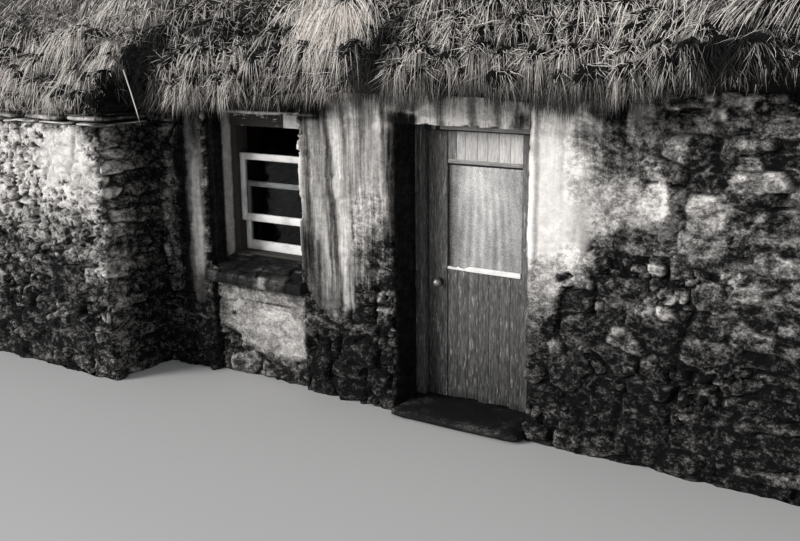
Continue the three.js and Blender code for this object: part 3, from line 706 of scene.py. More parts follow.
# The lightness laid over the rest of the front, in order, as above
LIME = [
    (1.2, 1.56, 0.06, 0.07, 0.8, 0.3), (1.18, 1.48, 0.08, 0.055, 0.84, 0.25),
    (1.11, 1.42, 0.06, 0.045, 0.7, 0.4), (1.24, 1.53, 0.015, 0.08, 1.0, 0.4),
    (1.18, 1.87, 0.1, 0.12, 0.4, 0.6), (1.3, 1.8, 0.05, 0.1, 0.56, 0.6), (1.12, 1.98, 0.06, 0.04, 0.56, 0.5),
    (1.44, 1.95, 0.09, 0.07, 0.46, 0.6), (1.49, 1.985, 0.042, 0.03, 0.97, 0.14),
    (1.62, 2.05, 0.045, 0.03, 0.66, 0.3), (1.43, 1.47, 0.06, 0.03, 0.6, 0.5),
    (1.5, 1.42, 0.05, 0.045, 0.6, 0.5), (1.53, 1.3, 0.035, 0.07, 0.52, 0.5),
    (1.29, 0.99, 0.03, 0.025, 0.92, 0.3), (1.17, 0.97, 0.02, 0.02, 0.55, 0.4),
    (1.65, 1.85, 0.05, 0.02, 0.62, 0.3), (1.7, 1.955, 0.14, 0.026, 0.36, 0.2),
    (1.71, 2.03, 0.042, 0.036, 0.02, 0.2), (1.72, 2.035, 0.018, 0.014, 0.5, 0.3),
    (1.89, 1.59, 0.055, 0.07, 0.54, 0.12), (1.8, 1.38, 0.16, 0.03, 0.42, 0.5),
    (1.78, 1.22, 0.2, 0.025, 0.34, 0.5), (1.9, 0.92, 0.04, 0.025, 0.55, 0.3),
    (1.78, 1.05, 0.03, 0.02, 0.5, 0.3), (1.35, 1.2, 0.07, 0.03, 0.34, 0.5),
    (0.62, 0.62, 0.05, 0.04, 0.42, 0.5), (0.78, 0.68, 0.05, 0.03, 0.3, 0.5),
    (1.0, 0.95, 0.05, 0.03, 0.32, 0.5), (-0.84, 1.45, 0.5, 0.72, 0.63, 0.12),
    # (-1.08, 2.01): painted shadow under the thatch on the pier's top left.
    (-1.08, 2.01, 0.14, 0.05, 0.2, 0.6), (-0.56, 1.0, 0.16, 0.2, 0.24, 0.5),
    (-0.9, 0.68, 0.12, 0.06, 0.56, 0.5), (-0.72, 0.85, 0.12, 0.14, 0.4, 0.5),
    (-1.17, 0.95, 0.045, 0.24, 0.18, 0.7), (-1.08, 0.85, 0.05, 0.2, 0.36, 0.7),
    (-0.5, 1.55, 0.022, 0.5, 0.3, 0.6), (0.02, 2.0, 0.7, 0.2, 0.88, 0.1),
    (-0.4, 1.885, 0.11, 0.045, 0.02, 0.4), (-0.36, 1.96, 0.08, 0.03, 0.4, 0.5),
    (-0.24, 1.925, 0.06, 0.02, 0.7, 0.35), (0.4, 1.9, 0.06, 0.05, 0.3, 0.6),
    # (-1.63, 1.98): painted shadow under the thatch on the window's lintel.
    (-1.63, 1.98, 0.6, 0.13, 0.16, 0.2), (-1.5, 1.878, 0.3, 0.01, 0.95, 0.4),
    (-2.15, 1.74, 0.04, 0.3, 0.28, 0.6), (-2.155, 1.16, 0.042, 0.42, 0.62, 0.35),
    (-2.15, 0.95, 0.045, 0.2, 0.68, 0.5), (-2.29, 1.2, 0.05, 0.9, 0.05, 0.4),
    (-2.4, 1.1, 0.04, 0.55, 0.32, 0.7), (-2.42, 1.3, 0.02, 0.3, 0.48, 0.7),
    (-1.6, 0.44, 0.42, 0.26, 0.57, 0.25), (-1.5, 0.44, 0.16, 0.12, 0.72, 0.7),
    (-2.02, 0.45, 0.04, 0.22, 0.36, 0.7), (-1.36, 0.3, 0.12, 0.1, 0.66, 0.6),
    # (-1.62, 0.672): the sill's painted shadow along the apron's top.
    (-1.5, 0.13, 0.3, 0.04, 0.3, 0.6), (-1.62, 0.672, 0.45, 0.028, 0.26, 0.8),
    (-1.9, 0.45, 0.024, 0.014, 0.08, 0.3), (-1.55, 0.56, 0.2, 0.004, 0.3, 0.6),
    (2.3, 1.3, 0.25, 0.45, 0.5, 0.5), (2.55, 1.2, 0.13, 0.75, 0.72, 0.4), (3.75, 1.25, 0.15, 0.75, 0.74, 0.4),
    (4.25, 1.4, 0.35, 0.4, 0.5, 0.5), (3.13, 0.36, 0.42, 0.32, 0.78, 0.3), (3.13, 2.0, 0.55, 0.14, 0.7, 0.3),
]
# Where rain has washed the lime in upright bands, as (place along, half width, how light), and by
# how much each band leans
RAIN_BANDS = [
    (-1.2, 0.014, 1.4), (-1.14, 0.026, 0.66), (-1.06, 0.04, 1.02), (-1.0, 0.012, 0.7), (-0.955, 0.022, 0.56),
    (-0.875, 0.045, 1.3), (-0.8, 0.012, 0.85), (-0.76, 0.04, 1.06), (-0.68, 0.012, 0.86), (-0.62, 0.04, 1.0),
    (-0.5, 0.02, 0.7), (-0.26, 0.08, 1.1), (-0.09, 0.025, 0.5), (0.03, 0.05, 1.1), (0.13, 0.025, 0.55),
    (0.24, 0.03, 0.95), (0.3, 0.02, 0.6), (0.38, 0.03, 0.95), (0.43, 0.015, 0.65),
]
RAIN_LEAN = 0.08
# Upright ridges by the door's right side, drawn only as a band of painted highlight and one of painted shade,
# as above
RIDGE_LIGHT_AND_SHADE = [(0.458, 0.012, 1.2), (0.495, 0.014, 0.74)]
# Where rain's runs show, as (place along, height, half width, half height, strength)
STREAKED = [
    (-0.84, 1.4, 0.42, 0.8, 0.8), (-2.2, 1.2, 0.3, 1.0, 0.3), (0.1, 2.0, 0.6, 0.2, 0.7),
    (0.9, 1.85, 0.4, 0.25, 0.45), (0.8, 1.35, 0.35, 0.3, 0.12), (-1.6, 0.5, 0.45, 0.3, 0.06),
]
# Where lime is left in flecks on the stone, as above
FLECKED = [
    (1.25, 1.85, 0.35, 0.25, 1.0), (1.4, 1.38, 0.4, 0.25, 0.7), (1.75, 1.6, 0.4, 0.4, 0.5),
    (1.4, 0.98, 0.5, 0.12, 0.5), (0.6, 0.8, 0.2, 0.22, 0.6), (-0.6, 1.0, 0.25, 0.3, 0.5),
]
# From here on the stones lie in beds
BEDDED_FROM = 1.62
# On the window's left side, places along run on from the corner into the wall
REVEAL_LIME = [(-1.84, 1.3, 0.05, 0.6, 0.8, 0.25), (-1.99, 1.3, 0.02, 0.7, 0.2, 0.4)]
# From where to where the window's apron is
APRON_X = (-2.04, -1.21)
# Where the dark foot left of the door ends, and from where on the wall counts as right of the door
FOOT_TO = -0.4
RIGHT_FROM = 0.45


def banded(level, along, bands):
    """Multiplies a lightness by soft upright bands, each (place along, half width, how light)."""
    for at, half, light in bands:
        level = level * mixed(1.0, light, smooth(1.5, 0.5, np.abs(along - at) / half))
    return level


def lime_bank(u, z):
    """The bank of lime right of the door: 1 above its slanting ragged edge and before its right end."""
    ragged = 0.17 * fractal(u * 6, z * 8, 2, 45) + 0.12 * fractal(u * 26, z * 30, 3, 46)
    above = smooth(-0.03, 0.03, z - np.interp(u, BANK_X, BANK_Z) + ragged)
    before = smooth(0.04, -0.04, u - BANK_END + 0.6 * ragged)
    return above * before * (u > BANK_START)


def front_face(u, z, side):
    """The front wall: stone, plaster in its patches, lime over both, rain's runs, a dark foot, and painted
    shade in the reveals and under the thatch.
    """
    relief, level, joint = stonework(u, z, 11, BEDDED_FROM)
    ragged = 0.3 * fractal(u * 15, z * 15, 3, 19)
    bank = lime_bank(u, z)
    bare = spots(u, z, BARE, 0.5, 76)
    plaster = np.maximum(spots(u, z, PLASTER), bank)
    kept = smooth(0.4, 0.62, plaster + ragged * smooth(0, 0.25, plaster)) * (1 - bare)
    kept = np.where(side != 0, 0.9, kept)
    scattered = smooth(0.12, 0.5, fractal(u * 5, z * 6, 4, 40)) * smooth(0.4, 1.2, z)
    flecks = smooth(0.08, 0.34, fractal(u * 11, z * 13, 4, 43)) * spots(u, z, FLECKED, 0.3, 75)
    stone = level * (1 - 0.25 * smooth(1.2, 0.7, z) * (u > RIGHT_FROM))
    stone = stone + 0.12 * scattered + 0.42 * flecks * (1 - 0.6 * joint)
    level = mixed(stone, 0.4, kept)
    limed = mixed(level, painted(level, u, z, BANK_LIME, 0.42, 77), bank)
    limed = mixed(painted(limed, u, z, LIME, 0.42, 71), stone, bare) * (1 - 0.5 * joint * (1 - kept))
    lean = u - RAIN_LEAN * (1.3 - z) + 0.016 * fractal(u * 6, z * 3, 3, 42)
    washed = banded(limed, lean, RAIN_BANDS)
    limed = mixed(limed, washed, smooth(0.5, 0.75, z) * (u < RIGHT_FROM))
    limed = mixed(limed, banded(limed, u + 0.01 * fractal(u * 9, z * 7, 3, 44), RIDGE_LIGHT_AND_SHADE), smooth(0.8, 1.1, z))
    beside_apron = (u < APRON_X[0]) | (u > APRON_X[1])
    limed = limed * (1 - 0.5 * smooth(0.8, 0.15, z) * ((u < FOOT_TO) & beside_apron))
    limed = limed * (1 - 0.3 * smooth(0.9, 0.2, z) * beside_apron)
    # Painted shade on the reveals: nearly black plaster with REVEAL_LIME's strips; left sides lighten above
    # 0.85 m.
    into = painted(0.1 + 0 * u, u, z, REVEAL_LIME, 0.12, 72)
    level = np.select([side == 1, side == 3], [into, mixed(0.1, 0.75, smooth(0.85, 1.1, z))], limed)
    run = np.where(side != 0, 0.05, 0.34 * spots(u, z, STREAKED, 0.2, 74))
    flaky = spots(u, z, FLAKY, 0.3, 78)
    return dressed(skimmed(relief, u, z, kept, 11), level, joint, kept, run, flaky=flaky)


def rubble_face(places, scatter=0.2, salt=21):
    """A rubble wall with a few limewashed patches and scattered lime left in its pits."""

    def face(u, z, side):
        """Its relief and lightness, the same on every side."""
        relief, level, joint = stonework(u, z, salt)
        scattered = smooth(0.0, 0.5, fractal(u * 3, z * 3.4, 4, salt + 4))
        stone = 1.5 * level + 0.06 + scatter * scattered
        level = painted(stone, u, z, places, 0.55, salt + 3) * (1 - 0.6 * joint)
        level = level * (1 - 0.4 * smooth(0.8, 0.1, z))
        return dressed(relief, level, joint, 0 * u, 0.1 + 0 * u, 0.22)

    return face


def graded(low, high, zones):
    """Places from low to high, with a spacing for each zone, given as (end, spacing) in order."""
    places = [low]
    start = low
    for end, spacing in zones:
        stop = min(end, high)
        if stop > start + 1e-6:
            count = max(1, int(round((stop - start) / spacing)))
            places.extend(start + (stop - start) * np.arange(1, count + 1) / count)
            start = stop
    return np.array(places)


def even(low, high, spacing):
    """Places from low to high at one spacing, or as near to it as comes out even."""
    return graded(low, high, [(high, spacing)])


SIDE_NORMALS = np.array([(0.0, -1.0), (1.0, 0.0), (0.0, 1.0), (-1.0, 0.0)])
# On a block's back, places along are X and this much more
BACK_ALONG = 40.0
SQUARE = (0, 0, 0, 0)


def masonry(parcel, rect, heights, steps, face, weights, radii=SQUARE, dent=None):
    """One block of wall: a rectangle in plan, row by row, pushed out along its sides by its face.

    rect is x0, x1, y0, y1, each a number or one for each row. steps are the places along the front,
    right, back and left sides as shares from 0 up to 1. Corners, from the front left round by the
    front right, are rounded by radii. The face is worked out over u and z, where u is X on the
    front and runs on round the corners, and over the sides' numbers from 0, the front, to 3, the
    left. weights say how much of its relief each side gets. A dent moves the plain points first.
    """
    x0, x1, y0, y1 = (np.broadcast_to(np.asarray(v, float), heights.shape)[:, None] for v in rect)
    front, right, back, left = (np.asarray(s)[:-1] if len(s) > 1 else np.asarray(s) for s in steps)
    if (len(front) + len(right) + len(back) + len(left)) % 2:
        back = np.append(back, (1 + back[-1]) / 2)
    counts = [len(front), len(right), len(back), len(left)]
    x = np.hstack([x0 + (x1 - x0) * front, x1 + 0 * right, x1 - (x1 - x0) * back, x0 + 0 * left])
    y = np.hstack([y0 + 0 * front, y0 + (y1 - y0) * right, y1 + 0 * back, y1 - (y1 - y0) * left])
    side = np.repeat(np.arange(4), counts)
    starts = np.cumsum([0] + counts[:3])
    for corner, index in enumerate(starts):
        if weights[corner - 1] > weights[corner]:
            side[index] = (corner - 1) % 4
    first_x = float(x0[0, 0])
    last_x = float(x1[0, 0])
    near_y = float(y0.min())
    places = [x, last_x + (y - near_y), x + BACK_ALONG]
    u = np.select([side == 0, side == 1, side == 2], places, first_x - (y - near_y))
    normal = np.broadcast_to(SIDE_NORMALS[side], x.shape + (2,)).copy()
    weight = np.broadcast_to(np.asarray(weights, float)[side], x.shape)
    corners = [(x0, y0, 1, 1), (x1, y0, -1, 1), (x1, y1, -1, -1), (x0, y1, 1, -1)]
    for radius, (cx, cy, sx, sy) in zip(radii, corners):
        if radius:
            away_x = x - (cx + sx * radius)
            away_y = y - (cy + sy * radius)
            near = (away_x * sx <= 0) & (away_y * sy <= 0)
            length = np.maximum(np.hypot(away_x, away_y), 1e-9)
            x = np.where(near, cx + sx * radius + radius * away_x / length, x)
            y = np.where(near, cy + sy * radius + radius * away_y / length, y)
            outward = np.stack([away_x / length, away_y / length], axis=-1)
            normal = np.where(near[..., None], outward, normal)
    z = np.broadcast_to(heights[:, None], x.shape)
    if dent:
        x, y = dent(x, y, z)
    values = face(u, z, side)
    push = values.pop("relief") * weight
    rings = np.stack([x + normal[..., 0] * push, y + normal[..., 1] * push, z], axis=-1)
    parcel.add_rings(rings, **values)


def shares(places):
    """Places turned into shares of the way from the first to the last."""
    return (places - places[0]) / (places[-1] - places[0])


HIDDEN_SIDE = np.array([0.0, 1.0])


def sides(x, y, *spacings):
    """The steps of a block's front, right, back and left sides by their spacings, or None if hidden."""
    lengths = (x[1] - x[0], y[1] - y[0]) * 2
    return [shares(even(0, length, spacing)) if spacing else HIDDEN_SIDE
            for length, spacing in zip(lengths, spacings)]


def front_block(parcel, x_range, y_range, z_range, left, right, radii=SQUARE, dent=None):
    """A block of the front wall. left and right say how fine its side faces are, or None if hidden."""
    steps = sides(x_range, y_range, HIDDEN, right, HIDDEN, left)
    steps[0] = shares(graded(*x_range, [(FINE_TO, FINE), (BEYOND, MEDIUM)]))
    weights = (1, 0.55 if right else 0, 0.2, 0.55 if left else 0)
    rows = even(*z_range, FINE if x_range[0] < FINE_TO else MEDIUM)
    masonry(parcel, (*x_range, *y_range), rows, steps, front_face, weights, radii, dent)


# The front wall: the reveals' spacing, how round its corners are, how far the pier laps over the
# window's frame while the apron and the lintel end short, the step behind the door's post, and the
# lintels' underside
REVEAL = 0.022
ARRIS = 0.03
LAP = 0.03
REBATE = 0.042
LINTEL_LOW = 1.86


def make_front_wall():
    """The front wall's blocks between and over its openings, each standing for its own node.

    The pier's plaster laps a little over the window's frame.
    """
    blocks = {
        "window_pillar": (0, 0, None, REVEAL, (0, ARRIS, 0, 0)),
        "window_apron": (0, LAP, None, None, SQUARE),
        "window_lintel": (0, LAP, None, None, SQUARE),
        "front_pier": (LAP, 0, REVEAL, REVEAL, (LAP / 2, ARRIS, 0, 0)),
        "door_lintel": (0, 0, None, None, SQUARE),
    }
    for name, (more_left, less_right, left, right, radii) in blocks.items():
        x, y, z = extent(name)
        parcel = Parcel()
        front_block(parcel, (x[0] - more_left, x[1] - less_right), y, z, left, right, radii)
        parcel.piece(name, "limewash", WALL)


def rebate(x, y, z):
    """The doorway's right side steps back behind the door's post."""
    corner = extent("front_wall_right")[0][0]
    post = extent("door_frame")[1][0]
    behind = (x < corner + TOUCH) & (y > post - 0.035) & (z < LINTEL_LOW)
    return np.where(behind, x + REBATE, x), y


def make_right_wall():
    """The front wall right of the door: a stretch on each side of its window, the apron and the lintel."""
    wall_x, wall_y, wall_z = extent("front_wall_right")
    sill_x, _, sill_z = extent("end_window_sill")
    _, _, lintel_z = extent("window_lintel")
    _, apron_y, _ = extent("window_apron")
    parcel = Parcel()
    radii = (ARRIS, ARRIS, 0, 0)
    front_block(parcel, (wall_x[0], sill_x[0]), wall_y, wall_z, REVEAL, MEDIUM, radii, rebate)
    front_block(parcel, (sill_x[1], wall_x[1]), wall_y, wall_z, MEDIUM, None, (ARRIS, 0, 0, 0))
    front_block(parcel, sill_x, (apron_y[0], wall_y[1]), (wall_z[0], sill_z[0]), None, None)
    front_block(parcel, sill_x, wall_y, lintel_z, None, None)
    parcel.piece("front_wall_right", "limewash", WALL)


# The outshot's lime, the groove in it and where it is whole, as above. Past CORNER_FROM its stones
# lie in beds and its flags are darker, and past RETURN_FROM its face has turned the corner
OUTSHOT_LIME = [
    (-3.3, 1.4, 0.75, 0.36, 0.87, 0.35), (-2.86, 1.5, 0.32, 0.28, 0.9, 0.35),
    (-2.64, 1.28, 0.15, 0.2, 0.8, 0.45), (-3.1, 1.1, 0.4, 0.14, 0.6, 0.6),
    (-2.75, 0.94, 0.3, 0.12, 0.52, 0.6), (-2.7, 0.62, 0.2, 0.1, 0.36, 0.7),
    (-2.42, 1.62, 0.06, 0.08, 0.5, 0.4), (-4.4, 1.35, 0.6, 0.36, 0.6, 0.45), (-5.0, 1.2, 0.3, 0.4, 0.5, 0.5),
    (-3.43, 1.27, 0.02, 0.1, 0.03, 0.3), (-3.4, 1.18, 0.05, 0.02, 0.03, 0.3),
]
GROOVE = [(-3.43, 1.27, 0.02, 0.1, 1.0), (-3.4, 1.18, 0.05, 0.02, 1.0)]
WHOLE_LIME = [(-2.86, 1.58, 0.26, 0.2, 0.9), (-2.7, 1.38, 0.12, 0.16, 0.7)]
CORNER_FROM = -2.62
RETURN_FROM = -2.5
OUTSHOT_DEEP = 0.45


def outshot_face(u, z, side):
    """The outshot: pitted limewash high on its front, bare bedded rubble on its return with painted shade in
    the corner.
    """
    relief, level, joint = stonework(u, z, 31, CORNER_FROM)
    level = 1.2 * level
    turned = smooth(RETURN_FROM - 0.04, RETURN_FROM + 0.06, u)
    open_to_pits = 1 - spots(u, z, WHOLE_LIME, 0.5, 95)
    pits = smooth(0.16, 0.32, fractal(u * 36, z * 42, 3, 94)) * open_to_pits
    limed = painted(level, u, z, OUTSHOT_LIME, 0.4, 91) * (1 - 0.72 * pits) * (1 - 0.35 * joint)
    # Painted shade: the return darkens towards its inner corner.
    inner = smooth(0.0, 0.4, u - RETURN_FROM)
    level = mixed(limed, (level * 1.5 + 0.2) * (1 - 0.7 * inner), turned)
    level = level * (1 - 0.38 * smooth(0.9, 0.2, z))
    relief = relief - 0.035 * spots(u, z, GROOVE, 0.2, 93) - 0.006 * pits
    kept = 0.8 * smooth(0.5, 0.85, limed) * (1 - turned)
    skinned = skimmed(relief, u, z, kept, 31)
    return dressed(skinned, level, joint, kept, 0.05 + 0 * u, 0.38, 0.9 * open_to_pits)


def side_wall_face(u, z, side):
    """The same return, carried on from the front block's own depth."""
    return outshot_face(u + OUTSHOT_DEEP, z, side)


def make_outshot():
    """The outshot's front block and its short side wall, whose head slopes under the thatch."""
    x, y, z = extent("outshot_front_wall")
    parcel = Parcel()
    steps = sides(x, y, HIDDEN, FINE, HIDDEN, MEDIUM)
    steps[0] = shares(graded(*x, [(FINE_FROM, MEDIUM), (BEYOND, FINE)]))
    masonry(parcel, (*x, *y), even(*z, FINE), steps, outshot_face, (1, 1, 0.3, 1), (ARRIS, ARRIS, 0, 0))
    parcel.piece("outshot_front_wall", "rubble", WALL)

    x, y, z = extent("outshot_side_wall")
    rows = even(*z, 0.02)
    head = np.maximum(y[0], (rows - HEAD - RAFTER_LIFT) / PITCH)
    steps = sides(x, y, HIDDEN, FINE, HIDDEN, HIDDEN)
    parcel = Parcel()
    masonry(parcel, (*x, head, y[1]), rows, steps, side_wall_face, (0, 1, 0, 0.2))
    parcel.piece("outshot_side_wall", "rubble", WALL)


# Lime left on the back wall and on the gables, as above
BACK_LIME = [
    (40.4, 1.3, 0.25, 0.4, 0.75, 0.2), (42.0, 1.3, 0.3, 0.45, 0.72, 0.2), (38.5, 1.5, 0.5, 0.3, 0.5, 0.3),
    (36.6, 1.3, 0.4, 0.4, 0.6, 0.2), (43.4, 1.4, 0.4, 0.3, 0.5, 0.3),
]
GABLE_LIME = [
    (6.5, 1.5, 0.7, 0.5, 0.62, 0.25), (8.5, 1.2, 0.5, 0.5, 0.5, 0.25), (7.2, 2.8, 0.8, 0.4, 0.5, 0.25),
    (-7.0, 1.5, 0.8, 0.5, 0.6, 0.25), (-9.0, 1.3, 0.5, 0.4, 0.5, 0.25), (-7.6, 2.8, 0.8, 0.4, 0.45, 0.25),
]
# The far walls, and the frame's broad bulges in them: how far apart and how far out. The level
# patch is round a middle in Y and Z, by half its width
WALL_THICK = 0.6
BULGE_APART = 0.58
BULGE_REACH = 0.022
LEVEL_PATCH = (2.45, 1.0, 0.7)


def bulge(p, z, p_range, z_range, patched=False):
    """The frame's broad bulges: reach times sin(2.4 column + 1.3 row) on an even grid, blended between.

    They are 0 round the edge, and in the right gable's level patch.
    """
    columns = round((p_range[1] - p_range[0]) / BULGE_APART)
    rows = round((z_range[1] - z_range[0]) / BULGE_APART)
    across = np.clip((p - p_range[0]) / (p_range[1] - p_range[0]), 0, 1) * columns
    up = np.clip((z - z_range[0]) / (z_range[1] - z_range[0]), 0, 1) * rows
    column0 = np.minimum(np.floor(across), columns - 1)
    row0 = np.minimum(np.floor(up), rows - 1)

    def reach(column, row):
        """How far out one point of the grid is."""
        at_p = p_range[0] + (p_range[1] - p_range[0]) * column / columns
        at_z = z_range[0] + (z_range[1] - z_range[0]) * row / rows
        inside = (column > 0) & (column < columns) & (row > 0) & (row < rows)
        if patched:
            patch_y, patch_z, half = LEVEL_PATCH
            inside &= (np.abs(at_p - patch_y) >= half) | (np.abs(at_z - patch_z) >= half)
        return np.where(inside, BULGE_REACH * np.sin(2.4 * column + 1.3 * row), 0.0)

    low = mixed(reach(column0, row0), reach(column0 + 1, row0), across - column0)
    high = mixed(reach(column0, row0 + 1), reach(column0 + 1, row0 + 1), across - column0)
    return mixed(low, high, up - row0)


def make_back_wall():
    """The back wall: a stretch on each side of its window, and the blocks below and above it."""
    x, y, z = extent("back_wall")
    y = (y[0], y[0] + WALL_THICK)

    def dent(px, py, pz):
        """Moves the outer face by its bulges."""
        return px, np.where(py > y[1] - TOUCH, py + bulge(px, pz, x, z), py)

    hole_x, _, hole_z = extent("back_window_frame")
    face = rubble_face(BACK_LIME)
    parcel = Parcel()
    blocks = [
        ((x[0], hole_x[0]), z, 0, 0.5, (0, 0, ARRIS, 0)),
        ((hole_x[1], x[1]), z, 0.5, 0, (0, 0, 0, ARRIS)),
        (hole_x, (z[0], hole_z[0]), 0, 0, SQUARE),
        (hole_x, (hole_z[1], z[1]), 0, 0, SQUARE),
    ]
    for x_range, z_range, left, right, radii in blocks:
        steps = sides(x_range, y, HIDDEN, MEDIUM, MEDIUM, MEDIUM)
        rows = even(*z_range, MEDIUM)
        masonry(parcel, (*x_range, *y), rows, steps, face, (0.25, right, 1, left), radii, dent)
    parcel.piece("back_wall", "rubble", WALL)


def make_gables():
    """Both gables narrow along the rafters' line, and the left one stops level under its stack."""
    face = rubble_face(GABLE_LIME, salt=61)
    plate_y = 0.1
    for name, outer in (("gable_left", 3), ("gable_right", 1)):
        x, y, z = extent(name)
        outward = -1 if outer == 3 else 1
        x = (x[1] - WALL_THICK, x[1]) if outer == 3 else (x[0], x[0] + WALL_THICK)
        plane = x[0] if outer == 3 else x[1]

        def dent(px, py, pz):
            """Moves the outer face by its bulges."""
            moved = px + outward * bulge(py, pz, y, z, patched=outer == 1)
            return np.where(np.abs(px - plane) < TOUCH, moved, px), py

        rows = even(z[0], z[1] - 0.01, MEDIUM)
        slope = (rows - HEAD - RAFTER_LIFT) / PITCH
        stepped = np.interp(rows, (0, HEAD - 0.01, HEAD), (0, 0, plate_y))
        near = np.maximum(slope, y[0] if outer == 3 else stepped)
        far = y[1] - np.maximum(slope, stepped)
        spacings = [MEDIUM, HIDDEN, MEDIUM, HIDDEN]
        spacings[outer] = MEDIUM
        steps = sides(x, (0, DEPTH), *spacings)
        weights = [0.8, 0.25, 0.8, 0.25]
        weights[outer] = 1
        parcel = Parcel()
        masonry(parcel, (*x, near, far), rows, steps, face, weights, dent=dent)
        parcel.piece(name, "rubble", WALL)


def make_stack():
    """The stack: shaft, projecting band, then over the rim and down the flue."""
    x, y, z = extent("chimney_stack")
    band_tall, band_proud, rim, flue_deep = 0.07, 0.04, 0.19, 0.6
    shaft_wide, shaft_deep = 0.68, 0.98
    shaft_rows = even(z[0], z[1] - band_tall - 0.005, 0.03)
    rows = np.concatenate([shaft_rows, [z[1] - band_tall, z[1] - 0.01, z[1], z[1], z[1] - flue_deep]])
    inset = np.concatenate([shaft_rows * 0 + band_proud, [0, 0, 0.012, rim, rim + 0.01]])
    steps = sides((0, shaft_wide), (0, shaft_deep), MEDIUM, MEDIUM, MEDIUM, MEDIUM)
    parcel = Parcel()
    rect = (x[0] + inset, x[1] - inset, y[0] + inset, y[1] - inset)
    face = rubble_face([(-5.0, 4.6, 2.0, 0.5, 0.5, 0.5), (35.0, 4.6, 1.0, 0.5, 0.5, 0.5)], 0.3, 81)
    masonry(parcel, rect, rows, steps, face, (0.7,) * 4, (ARRIS,) * 4)
    parcel.piece("chimney_stack", "rubble", WALL)


# Flags and slabs: points round one, and the height in its layer up to which a flag counts as thin
SLAB_AROUND = 64
THIN_TO = 0.01


def slab(parcel, x, y, z, salt, squareness, rough, level, dark_from=NEVER):
    """A split flag: a superellipse in plan with a wandering edge, rounded over at top and bottom.

    Past dark_from it is darker.
    """
    angle = np.arange(SLAB_AROUND) * 2 * math.pi / SLAB_AROUND
    power = 2 / squareness
    unit_x = np.sign(np.cos(angle)) * np.abs(np.cos(angle)) ** power
    unit_y = np.sign(np.sin(angle)) * np.abs(np.sin(angle)) ** power
    half_x = (x[1] - x[0]) / 2
    half_y = (y[1] - y[0]) / 2
    thick = z[1] - z[0]
    round_over = thick * 0.35
    insets = np.array([round_over * 1.8, 0, 0, round_over, 0.3 * half_x, 0.7 * half_x])
    heights = np.array([0, 0.35, 0.65, 1.0, 1.0, 1.0]) * thick + z[0]
    wander = 1 - rough * (1 + fractal(unit_x * 4 + salt, unit_y * 4, 4, salt))
    rings = []
    levels = []
    # Each ring's lightness step: painted shade under the bottom edge, and sides and top arris lighter by wear
    # and painted highlight.
    for inset, height, worn in zip(insets, heights, (-0.3, 0.12, 0.2, 0.16, 0.0, 0.0)):
        px = (half_x - inset) * unit_x * wander
        py = np.maximum(half_y - inset, 0.02) * unit_y * wander
        wave = 0.012 * fractal(px * 8 + salt, py * 8, 3, salt + 1)
        rings.append(np.stack([px + sum(x) / 2, py + sum(y) / 2, height + wave], axis=-1))
        darkening = 0.42 * smooth(dark_from, dark_from + 0.1, px + sum(x) / 2)
        levels.append(level + worn - darkening + 0.34 * fractal(px * 14 + salt, py * 14, 3, salt + 2))
    parcel.add_rings(np.stack(rings), level=np.stack(levels))


def make_coping():
    """Split flags in three broken layers along the outshot's head.

    A layer is (low, high, shortest, longest, nearest, farthest front, lightness, roughness).
    """
    x, y, z = extent("coping_flags")
    least, short, uneven = 0.08, 0.14, 0.002
    rng = np.random.default_rng(5)
    layers = [
        (0.003, 0.016, 0.22, 0.42, 0.0, 0.03, 0.76, 0.07),
        (0.024, 0.056, 0.26, 0.5, 0.0, 0.05, 0.66, 0.12),
        (0.064, 0.082, 0.20, 0.40, 0.03, 0.1, 0.4, 0.1),
    ]
    parcel = Parcel()
    index = 0
    for low, high, shortest, longest, nearest, farthest, light, rough in layers:
        at = x[0]
        while at < x[1] - least:
            wide = min(rng.uniform(shortest, longest), x[1] - at)
            if x[1] - at - wide < short:
                wide = x[1] - at
            front = y[0] + rng.uniform(nearest, farthest)
            lift = rng.uniform(-uneven, uneven)
            flag_x = (at + 0.004, at + wide - rng.uniform(0.004, 0.02))
            flag_z = (z[0] + low + lift * (low > THIN_TO), z[0] + high + lift)
            tone = light + rng.uniform(-0.18, 0.14)
            slab(parcel, flag_x, (front, y[1]), flag_z, 100 + index, 8.0, rough, tone, CORNER_FROM)
            at += wide
            index += 1
    parcel.piece("coping_flags", "flagstone", FLAG)


def section_ring(corners, spacing):
    """Points along a closed outline, evenly by its spacing, an even number in all."""
    points = []
    for (y0, z0), (y1, z1) in zip(corners, corners[1:] + corners[:1]):
        count = max(1, int(round(math.hypot(y1 - y0, z1 - z0) / spacing)))
        step = np.arange(count)[:, None] / count
        points.append(np.array([y0, z0]) + step * np.array([y1 - y0, z1 - z0]))
    ring = np.concatenate(points)
    return ring[:-1] if len(ring) % 2 else ring


def swept(section, along, push):
    """A section in Y and Z carried along X, each point moved out by push along the section's normal."""
    ahead = np.roll(section, -1, axis=-2) - np.roll(section, 1, axis=-2)
    length = np.maximum(np.hypot(ahead[..., 0], ahead[..., 1]), 1e-9)
    y = section[..., 0] + push * ahead[..., 1] / length
    z = section[..., 1] - push * ahead[..., 0] / length
    return np.stack([np.broadcast_to(along[:, None], y.shape), y, z], axis=-1)


